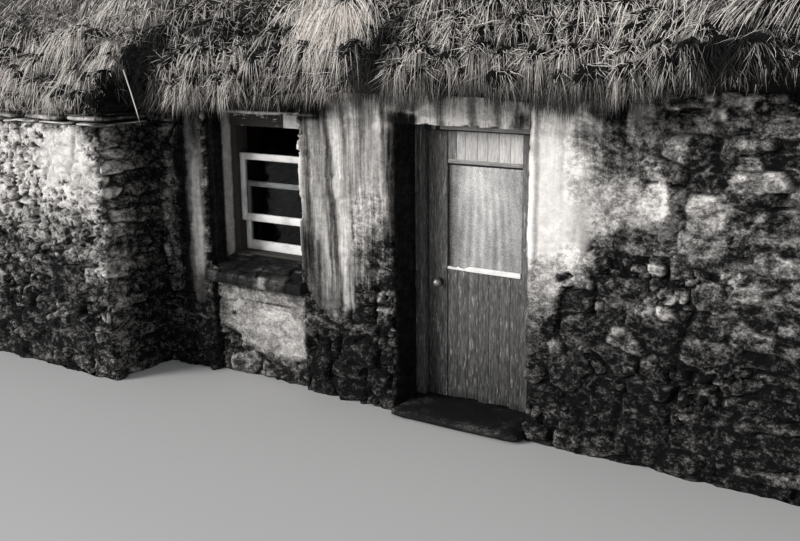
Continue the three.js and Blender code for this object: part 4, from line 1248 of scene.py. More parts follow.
def make_sill(name):
    """A cracked slab whose worn top slopes to a rounded nose."""
    x, y, z = extent(name)
    shoulder, nose = 0.262, 0.075
    spacing = 0.014
    corners = [(y[0], z[0]), (y[1], z[0]), (y[1], z[1]), (shoulder, z[1]), (y[0], z[0] + nose)]
    ring = section_ring(corners, spacing)
    along = even(*x, spacing)
    ring_y = np.broadcast_to(ring[:, 0], (len(along), len(ring)))
    ring_z = np.broadcast_to(ring[:, 1], ring_y.shape)
    ring_x = np.broadcast_to(along[:, None], ring_y.shape)
    wander = 0.2 * fractal(ring_x * 9, ring_y * 9, 3, 5)
    edge, tag, _, _ = cells(ring_x / 0.21 + wander, ring_y / 0.19, 44)
    crack = smooth(0.12, 0.0, edge)
    seen = smooth(shoulder, shoulder - 0.02, ring_y) * smooth(z[0] + 0.004, z[0] + 0.02, ring_z)
    rough = fractal(ring_x * 20, ring_y * 20 + ring_z * 20, 3, 46)
    push = seen * (-0.014 * crack + 0.01 * (tag - 0.6) + 0.005 * rough)
    corner = np.exp(-(((ring_y - y[0]) ** 2 + (ring_z - z[0] - nose) ** 2) / 0.022 ** 2))
    push = push - 0.006 * corner
    light = 0.34 * smooth(0.24, 0.5, fractal(ring_x * 9, ring_y * 16, 4, 47))
    level = 0.04 + 0.14 * tag ** 2 + light - 0.25 * crack + 0.07 * corner
    parcel = Parcel()
    parcel.add_rings(swept(np.stack([ring_y, ring_z], axis=-1), along, push), level=level)
    parcel.piece(name, "flagstone", FLAG)


def make_threshold():
    """One dark slab, nearly square in its corners."""
    parcel = Parcel()
    slab(parcel, *extent("threshold"), 150, 16.0, 0.004, -0.02)
    parcel.piece("threshold", "flagstone", FLAG)


# Thatch: spacings of its bodies, and how far a step down the slope goes in Y
THATCH_COARSE = 0.07
THATCH_FINE = 0.035
THATCH_BACK = 0.06
STEP_IN_Y = 0.77


def rafter_line(y):
    """How high the rafters' top is: it rises from the wall's head by the pitch."""
    return HEAD + RAFTER_LIFT + PITCH * y


def cubic(start, pull_out, pull_in, end, count):
    """Points along a cubic curve from start, which they leave out, to end."""
    t = (np.arange(1, count + 1) / count)[:, None]
    p0, p1, p2, p3 = (np.array(p) for p in (start, pull_out, pull_in, end))
    return (1 - t) ** 3 * p0 + 3 * t * (1 - t) ** 2 * p1 + 3 * t * t * (1 - t) * p2 + t ** 3 * p3


class Slope:
    """The thatch's outer line from its top to the eave's nose, and how far each point is from the eave.

    It drops by a square within the crown's reach and is straight down to its knee, where a cubic
    curve pulled by two points turns it to the nose.
    """

    def __init__(self, kind, top, fine=THATCH_FINE):
        knee, pulls, nose = {
            "main": (-0.2, (-0.32, (-0.43, 2.18)), (-0.345, 2.0)),
            "outshot": (-0.42, (-0.52, (-0.64, 1.99)), (-0.585, 1.8303)),
        }[kind]
        self.kind = kind
        self.rise = lambda y: rafter_line(y) + THATCH_RISE
        zones = [(-0.5, THATCH_COARSE * STEP_IN_Y), (-knee, fine * STEP_IN_Y)]
        across = graded(-top, -knee, zones) * -1
        near_ridge = np.clip(1 - (DEPTH / 2 - across) / CROWN_REACH, 0, 1)
        line = np.stack([across, self.rise(across) - CROWN_DROP * near_ridge ** 2], axis=-1)
        turn = cubic((knee, self.rise(knee)), (pulls[0], self.rise(pulls[0])), pulls[1], nose, 12)
        self.outer = np.concatenate([line, turn])
        step = np.hypot(*np.diff(self.outer, axis=0).T)
        self.arc = np.concatenate([np.cumsum(step[::-1])[::-1], [0.0]])

    def inner(self):
        """The underside: the rafters' line straight below the slope, then in steps to the nose."""
        upper = self.outer[:, 0] > (0.13 if self.kind == "main" else -0.3)
        on_line = np.stack([self.outer[upper, 0], rafter_line(self.outer[upper, 0])], axis=-1)
        if self.kind == "main":
            plate = 0.0997
            corners = np.array([(plate, rafter_line(plate)), (plate, HEAD), (-0.02, HEAD), (-0.325, 2.008)])
        else:
            corners = np.array([(-0.3456, 1.8303), (-0.565, 1.8303)])
        length = np.concatenate([[0], np.cumsum(np.hypot(*np.diff(corners, axis=0).T))])
        spread = np.linspace(0, length[-1], int((~upper).sum()))
        rest = np.stack([np.interp(spread, length, column) for column in corners.T], axis=-1)
        return np.concatenate([on_line, rest])

    def at(self, x, s):
        """The thatch's surface for places along the house and distances above the eave."""
        arc = self.arc[::-1]
        line_y, line_z = self.outer[::-1].T
        y = np.interp(s, arc, line_y)
        z = np.interp(s, arc, line_z)
        reach = 0.02
        ahead_y = np.interp(s - reach, arc, line_y) - np.interp(s + reach, arc, line_y)
        ahead_z = np.interp(s - reach, arc, line_z) - np.interp(s + reach, arc, line_z)
        length = np.hypot(ahead_y, ahead_z)
        down = np.stack([0 * x, ahead_y / length, ahead_z / length], axis=-1)
        out = np.stack([0 * x, down[:, 2], -down[:, 1]], axis=-1)
        base = np.stack([x, y, z + eave_lift(x, self.kind) * smooth(0.5, 0.0, s)], axis=-1)
        return base + out * swell(x, s, self.kind)[:, None], down, out

    def height_to_arc(self, z):
        """How far above the eave, down the outer line, a height is."""
        return np.interp(z, self.outer[::-1, 1], self.arc[::-1])


# The eave's ragged line along the front: places along, how far it is lifted, and where straw ends
EAVE_X = (-2.5, -2.0, -1.36, -0.9, -0.58, 0.0, 0.3, 0.77, 1.09, 1.49, 1.9, 2.6, 3.4, 5.0)
EAVE_LIFT = (0.0, 0.0, 0.0, 0.05, 0.06, 0.06, 0.06, 0.03, 0.09, 0.15, 0.17, 0.08, 0.02, 0.03)
TIPS = (1.88, 1.86, 1.89, 1.95, 1.99, 2.04, 2.04, 1.97, 2.07, 2.14, 2.16, 2.08, 2.0, 2.0)
OUTSHOT_LIFT = 0.05
OUTSHOT_TIPS = 1.9
# Straw may reach this far past the frame's box, and is pressed back softly beyond it
FRONT_LIMIT = 0.06
LIMIT_GIVE = 0.09
# How far straw of the front leans to the right for each metre that it stands out
UPRIGHT = 0.62
# A straw is rooted this deep, and trimmed along the ragged eave to no less than a share of itself
ROOTED = 0.012
EAVE_RAG = 0.032
LEAST_LEFT = 0.12
# Painted shade in hollows of the straw and along the eave's underside, as
# (place along, distance above the eave, half width, half height, lightness, softness)
STRAW_SHADE_PATCHES = [
    (-2.3, 0.2, 0.14, 0.35, 0.05, 0.6), (-0.42, 0.35, 0.14, 0.3, 0.14, 0.6),
    (1.62, 0.3, 0.1, 0.22, 0.06, 0.6), (0.85, 0.05, 0.16, 0.1, 0.08, 0.6), (-1.45, 0.02, 0.2, 0.06, 0.1, 0.6),
    (0.3, 0.05, 0.5, 0.1, 0.14, 0.7),
]


def eave_lift(x, kind):
    """How far the eave is lifted at a place along it."""
    return np.interp(x, EAVE_X, EAVE_LIFT) if kind == "main" else OUTSHOT_LIFT + 0 * x


# The size of a tuft
TUFT_WIDE = 0.17
TUFT_TALL = 0.21


def tufts(x, s):
    """Round tufts all over a slope: how far in from the gap between two, a number, and the place in one."""
    along = x + 0.035 * fractal(x * 5, s * 5, 2, 64)
    up = s + 0.035 * fractal(x * 5 + 9, s * 5, 2, 65)
    return cells(along / TUFT_WIDE, up / TUFT_TALL, 66)


def swell(x, s, kind):
    """How far the worn surface stands in or out: broad waves, round tufts near the eave, fine lumps.

    It is 0 along the ridge, where the two slopes meet.
    """
    near = smooth(1.5, 0.35, s)
    ridge = (MAIN if kind == "main" else OUTSHOT).arc[0]
    clumps = np.abs(fractal(x * 2.3, s * 2.7, 3, 52))
    depth = 0.11 if kind == "outshot" else 0.08
    edge, tag, _, _ = tufts(x, s)
    round_tufts = 0.07 * (smooth(-0.05, 0.6, edge) - 0.6) + 0.025 * (tag - 0.5)
    wave = 0.03 * fractal(x * 0.8, s * 0.7, 3, 50) + 0.014 * fractal(x * 7, s * 5, 3, 51)
    return wave * smooth(ridge, ridge - 0.4, s) + near * (depth * (1.5 * clumps - 0.42) + round_tufts)


def shell(parcel, slope, x_places, mirror=False):
    """The thatch's body between its outer line and its underside, as rings along the house."""
    outer = np.broadcast_to(slope.outer, (len(x_places),) + slope.outer.shape)
    inner = np.broadcast_to(slope.inner()[::-1], outer.shape).copy()
    outer = outer.copy()
    x = np.broadcast_to(x_places[:, None], outer.shape[:2])
    s = np.broadcast_to(slope.arc, x.shape)
    lift = eave_lift(x, slope.kind)
    outer[..., 1] += lift * smooth(0.5, 0.0, s)
    inner[..., 1] += lift * np.clip(-inner[..., 0] / 0.33, 0, 1)
    push = swell(x, s, slope.kind) * smooth(0.0, 0.1, s)
    ring = np.concatenate([outer, inner], axis=1)
    push = np.concatenate([push, 0 * push], axis=1)
    x2 = np.concatenate([x, x[:, ::-1]], axis=1)
    s2 = np.concatenate([s, -0.2 - 0 * s], axis=1)
    rings = swept(ring, x_places, push)
    if mirror:
        rings = rings[:, ::-1]
        x2 = x2[:, ::-1]
        s2 = s2[:, ::-1]
        rings[..., 1] = DEPTH - rings[..., 1]
    grain = np.stack([x2, 0 * x2, s2], axis=-1)
    shaggy = smooth(-4.1, -3.8, x2) * smooth(2.5, 2.2, x2) * (not mirror)
    combed = np.maximum(smooth(0.6, 1.1, s2), (1 - shaggy) * (s2 > -0.1))
    patches = 0.16 * fractal(x2 * 0.9, s2 * 0.7, 4, 54) + 0.1 * fractal(x2 * 4, s2 * 1.6, 3, 55)
    # Painted shade: the body under the shaggy straw is near black; where combed it has its own patchy tone.
    level = mixed(0.1, 0.43 + patches, combed)
    parcel.add_rings(rings, caps="strip", grain=grain, level=level)


MAIN = Slope("main", DEPTH / 2)
OUTSHOT = Slope("outshot", DEPTH / 2)


def make_shells():
    """The three bodies of thatch. Beside the stack the outshot's and the back's stop below the ridge."""
    x_out, x_front, x_back = (extent(f"thatch_{name}")[0] for name in ("outshot", "front", "back"))
    stack_x, stack_y, _ = extent("chimney_stack")
    overlap = 0.04
    stack_end = stack_x[1] - overlap
    stack_near = stack_y[0] + overlap
    parcel = Parcel()
    shell(parcel, Slope("outshot", stack_near), even(x_out[0], stack_end, THATCH_COARSE))
    zones = [(FINE_FROM, THATCH_COARSE), (BEYOND, THATCH_FINE)]
    shell(parcel, OUTSHOT, graded(stack_end, x_out[1], zones))
    parcel.piece("thatch_outshot", "thatch", THATCH)
    parcel = Parcel()
    shell(parcel, MAIN, graded(*x_front, [(FINE_TO, THATCH_FINE), (BEYOND, THATCH_COARSE)]))
    parcel.piece("thatch_front", "thatch", THATCH)
    parcel = Parcel()
    for top, x_range in ((stack_near, (x_back[0], stack_end)), (DEPTH / 2, (stack_end, x_back[1]))):
        shell(parcel, Slope("main", top, THATCH_BACK), even(*x_range, THATCH_COARSE), mirror=True)
    parcel.piece("thatch_back", "thatch", THATCH)


# The places along a straw that get a ring of points, or its end, as shares of it
SHORT = (0.0, 0.5, 1.0)
LONG = (0.0, 0.38, 0.72, 1.0)
# A direction that no straw has
ASKEW = np.array([0.31, 0.52, 0.79])


def straws(root, aim, bend, length, width, level, steps):
    """Triangles of many tapering three-sided straws.

    Each runs from its root by length times (t aim + t squared bend) for t from 0 to 1, with a
    three-point ring at each step but the last, and a point at its end.
    """
    steps = np.array(steps)
    rings = len(steps) - 1
    path = root[:, None] + length[:, None, None] * (
        steps[:, None] * aim[:, None] + (steps ** 2)[:, None] * bend[:, None])
    ahead = aim[:, None] + 2 * steps[:, None] * bend[:, None]
    ahead = ahead / np.linalg.norm(ahead, axis=-1, keepdims=True)
    side = np.cross(ahead, ASKEW)
    side = side / np.maximum(np.linalg.norm(side, axis=-1, keepdims=True), 1e-6)
    up = np.cross(ahead, side)
    radius = 0.5 * width[:, None] * (1 - 0.6 * steps)
    angle = np.arange(3) * 2 * math.pi / 3
    spin = np.cos(angle)[:, None] * side[:, :rings, None] + np.sin(angle)[:, None] * up[:, :rings, None]
    around = path[:, :rings, None] + radius[:, :rings, None, None] * spin
    points = np.concatenate([around.reshape(len(root), 3 * rings, 3), path[:, rings:]], axis=1)
    last = 3 * (rings - 1)
    faces = [(0, 2, 1)]
    for low in range(0, last, 3):
        for k in range(3):
            after = (k + 1) % 3
            faces += [(low + k, low + after, low + 3 + after), (low + k, low + 3 + after, low + 3 + k)]
    faces += [(last + k, last + (k + 1) % 3, last + 3) for k in range(3)]
    faces = np.array(faces) + (last + 4) * np.arange(len(root))[:, None, None]
    # Painted shade: a straw darkens towards its root, deep in the mat, and is lighter at its tip.
    shade = level[:, None] + np.append(np.repeat(0.66 * np.minimum(steps[:rings], 0.6) - 0.3, 3), 0.2)
    return points.reshape(-1, 3), faces.reshape(-1, 3), shade.ravel()


class Sheaf:
    """Gathers straws of one roof slope and turns them into one piece."""

    def __init__(self, slope, seed, mirror=False):
        self.slope = slope
        self.rng = np.random.default_rng(seed)
        self.mirror = mirror
        self.parcel = Parcel()

    def strew(self, root, aim, bend, length, width, level, steps):
        """Adds straws as they are given, kept from standing too far out, and trimmed along the eave."""
        rng = self.rng
        count = len(root)
        aim = aim / np.linalg.norm(aim, axis=1, keepdims=True)
        lowest = self.tips(root[:, 0]) + EAVE_RAG * rng.normal(size=count)
        drop = np.maximum(-length * (aim + bend)[:, 2], 1e-3)
        length = length * np.clip((root[:, 2] - lowest) / drop, LEAST_LEFT, 1)
        points, faces, shade = straws(root, aim, bend, length, width, level, steps)
        edge = DEPTH - CAD_BOX[1][1] if self.mirror else CAD_BOX[0][1]
        over = np.maximum(edge - FRONT_LIMIT - points[:, 1], 0)
        points[:, 1] += over - LIMIT_GIVE * (1 - np.exp(-over / LIMIT_GIVE))
        if self.mirror:
            points[:, 1] = DEPTH - points[:, 1]
            faces = faces[:, ::-1]
        self.parcel.add(points, faces, level=shade)

    def grow(self, x, s, length, width, level, down, out, side, curl=0.15, sag=0.5, scatter=0.2, steps=SHORT,
             tufted=1.0, varied=0.35):
        """Straws at (x, s). down, out and side lean them; curl bends them at random, sag downwards.

        Where tufted they spread from each tuft's middle, and painted shade darkens those by the gaps.
        """
        rng = self.rng
        count = len(x)
        root, along, outward = self.slope.at(x, s)
        root = root - ROOTED * outward
        edge, tag, du, dv = tufts(x, s)
        lean = np.broadcast_to(side, (count,)) + 0.25 * fractal(x * 1.9, s * 1.9, 3, 56) + 1.3 * tufted * du
        fall = down - 0.7 * tufted * dv
        aim = fall[:, None] * along + out * outward + lean[:, None] * np.array([1.0, 0, 0])
        aim = aim + scatter * rng.normal(size=(count, 3))
        bend = curl * rng.normal(size=(count, 3)) + sag * DOWN
        if not self.mirror:
            aim[:, 0] -= UPRIGHT * (aim[:, 1] + bend[:, 1])
        # Painted shade: straws rooted near the gaps between tufts are darker; each tuft has its own tone.
        level = level + tufted * (0.34 * (tag - 0.5) - 0.5 * smooth(0.34, 0.0, edge) + 0.12)
        length = np.broadcast_to(length, (count,)) * rng.uniform(0.6, 1.3, count)
        level = level + varied * rng.normal(size=count)
        if not self.mirror and self.slope.kind == "main":
            level = painted(level, x, s, STRAW_SHADE_PATCHES, 0.3, 63)
        self.strew(root, aim, bend, length, width * rng.uniform(0.7, 1.3, count), level, steps)

    def tips(self, x):
        """How low straw hangs: the ragged eave's own line, or just above the flags."""
        ragged = 0.045 * fractal(x * 3.1, 0 * x, 3, 60) + 0.06 * fractal(x * 12, 0 * x, 2, 61)
        if self.slope.kind == "outshot":
            return OUTSHOT_TIPS + 0.2 * smooth(-2.65, -2.5, x) + ragged
        return np.interp(x, EAVE_X, TIPS) + ragged

    def mat(self, count, x_range, s_range, length, level, width=0.005, **lean):
        """A mat all over one stretch, lighter and darker by clumps."""
        x = self.rng.uniform(*x_range, count)
        s = self.rng.uniform(*s_range, count)
        patch = 0.36 * fractal(x * 2.3, s * 3.1, 3, 57) + 0.36 * fractal(x * 9, s * 9, 2, 58)
        self.grow(x, s, length, width, level + patch, **{"down": 0.5, "out": 0.4, "side": 0.0, **lean})

    def tuft(self, x, z, spread, length, count, level, lean=0.0, fan=0.5):
        """A lock that starts about one place and fans out as it hangs."""
        rng = self.rng
        offset = rng.normal(size=count)
        where = x + spread * offset
        s = np.maximum(self.slope.height_to_arc(z) + 0.07 * rng.normal(size=count), 0.02)
        side = lean + fan * spread * offset * 3
        self.grow(where, s, 0.75 * length, 0.0055, level, down=0.75, out=0.42, side=side, curl=0.1, sag=0.9,
                  scatter=0.12, steps=LONG)

    def locks(self, *rows):
        """One tuft for each row of its values."""
        for row in rows:
            self.tuft(*row)

    def piece(self, name):
        """Makes the piece, which has no node of its own in the frame."""
        self.parcel.piece(name, "thatch", STRAW)


def make_outshot_straw():
    """The outshot's thatch: rounded clumps, long bleached locks, and a dark ragged end by the hollow."""
    sheaf = Sheaf(OUTSHOT, 21)
    sheaf.mat(9500, (-3.95, -2.42), (0.0, 1.0), 0.1, 0.62, 0.0041, curl=0.55, scatter=0.5, sag=0.8)
    sheaf.locks(
        (-3.12, 2.45, 0.07, 0.42, 380, 1.0, 0.08), (-3.42, 2.2, 0.11, 0.32, 340, 0.9, -0.1),
        (-2.82, 2.15, 0.11, 0.3, 360, 0.96, -0.2), (-2.62, 2.3, 0.08, 0.28, 220, 0.8, -0.25),
        (-3.65, 2.35, 0.12, 0.34, 260, 0.85, 0.1), (-3.1, 2.0, 0.14, 0.2, 260, 0.9, 0.05),
        (-3.4, 1.98, 0.12, 0.18, 180, 0.85, 0.0), (-2.78, 1.97, 0.1, 0.18, 180, 0.85, -0.1),
        (-2.95, 2.7, 0.14, 0.36, 260, 0.75, 0.0), (-2.6, 2.65, 0.12, 0.34, 200, 0.65, 0.1),
    )
    sheaf.mat(1500, (-4.2, -2.4), (0.95, 1.7), 0.15, 0.55, 0.007, down=0.8, out=0.25)
    sheaf.mat(1000, (-5.3, -3.95), (0.0, 0.7), 0.15, 0.55, 0.007, down=0.8)
    end_count = 900
    rng = sheaf.rng
    y = rng.uniform(-0.6, -0.15, end_count)
    top = np.interp(y, OUTSHOT.outer[::-1, 0], OUTSHOT.outer[::-1, 1])
    z = mixed(1.92, top, rng.uniform(0, 1, end_count))
    root = np.stack([np.full(end_count, extent("thatch_outshot")[0][1] - 0.02), y, z], axis=-1)
    aim = np.array([0.8, -0.5, -0.1]) + 0.35 * rng.normal(size=(end_count, 3))
    bend = 0.2 * rng.normal(size=(end_count, 3)) + DOWN
    level = 0.28 + 0.18 * rng.normal(size=end_count)
    sheaf.strew(root, aim, bend, rng.uniform(0.05, 0.14, end_count), np.full(end_count, 0.006), level, SHORT)
    sheaf.piece("straw_outshot")


def make_eave_straw():
    """The front eave as the weather has left it: moss-like curls, bleached locks, bristles and stalks."""
    sheaf = Sheaf(MAIN, 22)
    sheaf.mat(11000, (-2.48, -0.5), (0.0, 0.95), 0.06, 0.56, 0.0041, curl=0.8, scatter=0.8, out=0.6, sag=0.7)
    sheaf.locks(
        (-1.16, 2.62, 0.09, 0.42, 400, 1.0, 0.05), (-0.92, 2.6, 0.09, 0.45, 430, 1.1, 0.0),
        (-0.7, 2.5, 0.08, 0.4, 320, 1.0, 0.12), (-1.05, 2.42, 0.12, 0.3, 280, 0.92, 0.05),
        (-0.82, 2.36, 0.1, 0.28, 220, 0.98, 0.05), (-2.15, 2.35, 0.1, 0.16, 90, 0.8),
        (-1.9, 2.12, 0.05, 0.14, 60, 0.95), (-1.62, 2.3, 0.14, 0.16, 110, 0.8),
        (-1.55, 2.04, 0.035, 0.16, 60, 1.0), (-2.25, 2.08, 0.06, 0.12, 60, 0.75),
        (-1.35, 2.2, 0.06, 0.14, 70, 0.85), (-1.95, 2.55, 0.16, 0.2, 110, 0.7),
    )
    fringe(sheaf, 900, (-2.3, -1.3), 0.13, 0.46, 0.5)
    fringe(sheaf, 900, (-1.3, -0.5), 0.15, 0.4, 0.35)
    root, aim, bend = (np.array([v]) for v in ((-2.26, -0.5, 2.17), (0.3, 0.1, -1.0), (-0.06, 0.0, 0.0)))
    length, width, level = (np.array([v]) for v in (0.38, 0.012, 0.95))
    points, faces, shade = straws(root, aim, bend, length, width, level, LONG)
    sheaf.parcel.add(points, faces, level=shade)
    sheaf.piece("straw_window_eave")

    sheaf = Sheaf(MAIN, 23)
    sheaf.mat(9500, (-0.52, 1.2), (0.12, 0.95), 0.085, 0.66, 0.0041, curl=0.5, scatter=0.5, out=0.5, sag=0.8)
    straight = {"down": 0.95, "curl": 0.06, "scatter": 0.12}
    sheaf.mat(900, (-0.55, -0.15), (0.1, 0.5), 0.2, 0.34, out=0.2, tufted=0.3, **straight)
    sheaf.mat(3200, (-0.1, 1.12), (0.02, 0.4), 0.15, 0.42, out=0.34, sag=1.0, tufted=0.4, **straight)
    fringe(sheaf, 1800, (-0.5, 1.15), 0.13, 0.3, 0.15)
    sheaf.locks(
        (-0.1, 2.55, 0.16, 0.2, 160, 0.62), (0.35, 2.5, 0.2, 0.2, 180, 0.6),
        (0.75, 2.55, 0.12, 0.26, 180, 0.7), (1.0, 2.5, 0.1, 0.3, 170, 0.72),
    )
    sheaf.piece("straw_door_eave")

    sheaf = Sheaf(MAIN, 24)
    sheaf.mat(7000, (1.15, 2.3), (0.0, 0.95), 0.1, 0.26, 0.0041, curl=0.3, scatter=0.4, out=0.45, sag=1.0)
    sheaf.locks(
        (1.66, 2.62, 0.07, 0.5, 230, 0.8, -0.95, 0.2), (1.5, 2.5, 0.06, 0.42, 150, 0.66, -0.85, 0.2),
        (1.95, 2.62, 0.07, 0.5, 200, 0.78, -0.2, 0.2), (2.2, 2.6, 0.1, 0.45, 200, 0.7, -0.2, 0.2),
        (1.3, 2.55, 0.08, 0.34, 140, 0.66, -0.4, 0.3),
    )
    fringe(sheaf, 700, (1.1, 2.3), 0.12, 0.28)
    sheaf.mat(1900, (2.3, 4.95), (0.0, 0.8), 0.16, 0.5, 0.007, down=0.85)
    fringe(sheaf, 500, (2.3, 4.9), 0.12, 0.45)
    sheaf.piece("straw_front_slope")


def fringe(sheaf, count, x_range, length, level, wild=0.09):
    """Ends that hang down from the nose, more or less straight."""
    x = sheaf.rng.uniform(*x_range, count)
    s = sheaf.rng.uniform(0.01, 0.16, count)
    uneven = 0.7 + 0.6 * np.abs(fractal(x * 8, 0 * x, 3, 59))
    sheaf.grow(x, s, length * uneven, 0.005, level, down=1.0, out=0.2, side=0.0, curl=wild, sag=0.6,
               scatter=wild, tufted=0.4)


def make_back_straw():
    """The back slope's straw, made as a front slope and mirrored."""
    sheaf = Sheaf(MAIN, 25, mirror=True)
    sheaf.mat(4200, (-5.3, 4.9), (0.0, 0.7), 0.16, 0.5, 0.007, down=0.85, varied=0.18)
    combed_straw(sheaf, 13000, (-4.5, 4.9), 0.6)
    sheaf.piece("straw_back_slope")


def combed_straw(sheaf, count, x_range, lowest):
    """Straw laid flat down a slope from the ridge, as it weathers away from the shaggy eave."""
    sheaf.mat(count, x_range, (lowest, MAIN.arc[0]), 0.2, 0.46, 0.011, down=1.0, out=0.07, side=0.0,
              curl=0.06, sag=0.05, scatter=0.1, tufted=0.15, varied=0.12)


def make_high_straw():
    """The weathered slopes above the shaggy eave, in front of the house and over the outshot."""
    sheaf = Sheaf(MAIN, 26)
    combed_straw(sheaf, 11500, (-2.45, 4.9), 0.85)
    sheaf.piece("straw_front_high")
    sheaf = Sheaf(OUTSHOT, 27)
    combed_straw(sheaf, 5200, (-5.3, -2.4), 0.85)
    sheaf.piece("straw_outshot_high")


# Boards: for each direction of length, which axes are across, through and along
AXES = {"z": (0, 1, 2), "x": (1, 2, 0)}


def board(parcel, x, y, z, axis, edge=0.004, wear=0.0012, loss=0.0, salt=0, pitch=0.05, pale=0.3, fade=0.0):
    """A worn board: a rounded rectangle carried along its length, its faces moved by slow noise.

    A ring has its four middles and three points at each corner, put in order by their angles.
    The grain attribute is the place across, through and along the board, shifted for each board.
    It is as light as pale says, less the share fade at its low end.
    """
    ranges = [x, y, z]
    order = AXES[axis]
    spans = [ranges[index] for index in order]
    half_u, half_v, half_w = ((high - low) / 2 for low, high in spans)
    edge = min(edge, 0.45 * min(half_u, half_v))
    rings = []
    stations = np.concatenate([[-half_w], even(-half_w + edge, half_w - edge, pitch), [half_w]])
    insets = np.zeros(len(stations))
    insets[0] = insets[-1] = edge * 0.8
    for inset in insets:
        ring = [(half_u - inset, 0), (0, half_v - inset), (-half_u + inset, 0), (0, -half_v + inset)]
        for turn, (su, sv) in enumerate(((1, -1), (1, 1), (-1, 1), (-1, -1))):
            for angle in (-90, -45, 0):
                a = math.radians(angle + 90 * turn)
                ring.append((su * (half_u - edge) + (edge - inset) * math.cos(a),
                             sv * (half_v - edge) + (edge - inset) * math.sin(a)))
        rings.append(ring)
    section = np.array(rings)
    section = section[:, np.argsort(np.arctan2(section[0, :, 1], section[0, :, 0]))]
    w = np.broadcast_to(stations[:, None], section.shape[:2])
    u, v = section[..., 0], section[..., 1]
    shift = wear * fractal((u + salt) * 20 + v * 31, w * 9 + salt, 3, 200 + salt % 40)
    length = np.maximum(np.hypot(u, v), 1e-6)
    u = u + shift * u / length
    v = v + shift * v / length
    world = [None, None, None]
    for index, values, (low, high) in zip(order, (u, v, w), spans):
        world[index] = values + (low + high) / 2
    grain = np.stack([u + salt * 0.37, v, w + salt * 0.61], axis=-1)
    pales = pale * (1 - fade * smooth(0.5 * half_w, -half_w, w))
    parcel.add_rings(np.stack(world, axis=-1), grain=grain, loss=np.full(u.shape, loss), pale=pales)


def framed(parcel, x, y, z, stile, low_rail, high_rail, salt, loss=0.0, low_loss=None):
    """Two stiles and two rails round an opening."""
    low_loss = loss if low_loss is None else low_loss
    board(parcel, (x[0], x[0] + stile), y, z, "z", loss=loss, salt=salt)
    board(parcel, (x[1] - stile, x[1]), y, z, "z", loss=loss, salt=salt + 1)
    inner = (x[0] + stile - 0.002, x[1] - stile + 0.002)
    tucked = (y[0] + 0.0015, y[1] - 0.0015)
    board(parcel, inner, tucked, (z[0], z[0] + low_rail), "x", loss=low_loss, salt=salt + 2)
    board(parcel, inner, tucked, (z[1] - high_rail, z[1]), "x", loss=loss, salt=salt + 3)


# Sashes and frames: stiles, the low and high rail of each sash, jambs, head board and cill
STILE = 0.042
UPPER_RAILS = (0.054, 0.046)
LOWER_RAILS = (0.068, 0.036)
JAMB = 0.038
HEAD_BOARD = 0.116
CILL = 0.019


def box_frame(parcel, x, y, z, salt):
    """Jambs, head board and thin cill, with a parting bead down each jamb.

    They are bare of paint but for the right end of the head, whose bare left part is painted shadow.
    """
    for index, jamb in enumerate(((x[0], x[0] + JAMB), (x[1] - JAMB, x[1]))):
        board(parcel, jamb, y, z, "z", loss=0.9, salt=salt + index)
    tucked = (y[0] + 0.0015, y[1] - 0.0015)
    between_jambs = (x[0] + JAMB - 0.002, x[1] - JAMB + 0.002)
    board(parcel, between_jambs, tucked, (z[0], z[0] + CILL), "x", loss=0.9, salt=salt + 2)
    # Painted shadow on the head board: bare dark wood left of here, white paint right of it.
    split = x[0] + 0.57 * (x[1] - x[0])
    head_z = (z[1] - HEAD_BOARD, z[1])
    board(parcel, (between_jambs[0], split), tucked, head_z, "x", edge=0.002, loss=0.7, salt=salt + 3)
    board(parcel, (split, between_jambs[1]), tucked, head_z, "x", edge=0.002, loss=-0.1, salt=salt + 4)
    bead = 0.012
    for low, high in ((x[0] + JAMB, x[0] + JAMB + bead), (x[1] - JAMB - bead, x[1] - JAMB)):
        board(parcel, (low, high), (y[0] + 0.002, y[0] + 0.016), (z[0] + CILL, z[1] - HEAD_BOARD), "z",
              edge=0.003, loss=0.9, salt=salt + 7)


def make_windows():
    """The window by the door with its slipped outer sash, the shut end window, and the back window."""
    parcel = Parcel()
    box_frame(parcel, *extent("window_frame"), 1)
    parcel.piece("window_frame", "white_paint", FRAME)
    for name, rails, salt, low_loss in (("window_upper_sash", UPPER_RAILS, 11, 0.1),
                                        ("window_lower_sash", LOWER_RAILS, 21, 0.2)):
        parcel = Parcel()
        framed(parcel, *extent(name), STILE, *rails, salt, loss=0.02, low_loss=low_loss)
        parcel.piece(name, "white_paint", WHITE)

    x, y, z = extent("end_window_frame")
    _, upper_y, upper_z = extent("window_upper_sash")
    _, lower_y, lower_z = extent("window_lower_sash")
    shut = z[1] - HEAD_BOARD
    shut_low = shut - (upper_z[1] - upper_z[0])
    lower_z = (lower_z[0], shut_low + UPPER_RAILS[0])
    inner = (x[0] + JAMB, x[1] - JAMB)
    parcel = Parcel()
    box_frame(parcel, x, y, z, 31)
    framed(parcel, inner, upper_y, (shut_low, shut), STILE, *UPPER_RAILS, 41, loss=0.04)
    framed(parcel, inner, lower_y, lower_z, STILE, *LOWER_RAILS, 51, loss=0.04)
    parcel.piece("end_window_frame", "white_paint", FRAME)

    x, y, z = extent("back_window_frame")
    edge, bar = 0.05, 0.024
    middle_x, middle_z = sum(x) / 2, sum(z) / 2
    parcel = Parcel()
    framed(parcel, x, y, z, edge, edge, edge, 61, loss=0.1)
    board(parcel, (middle_x - bar / 2, middle_x + bar / 2), (y[0] + 0.004, y[1] - 0.004),
          (z[0] + edge, z[1] - edge), "z", loss=0.1, salt=66)
    board(parcel, (x[0] + edge, x[1] - edge), (y[0] + 0.005, y[1] - 0.005),
          (middle_z - bar / 2, middle_z + bar / 2), "x", loss=0.1, salt=67)
    parcel.piece("back_window_frame", "white_paint", WHITE)


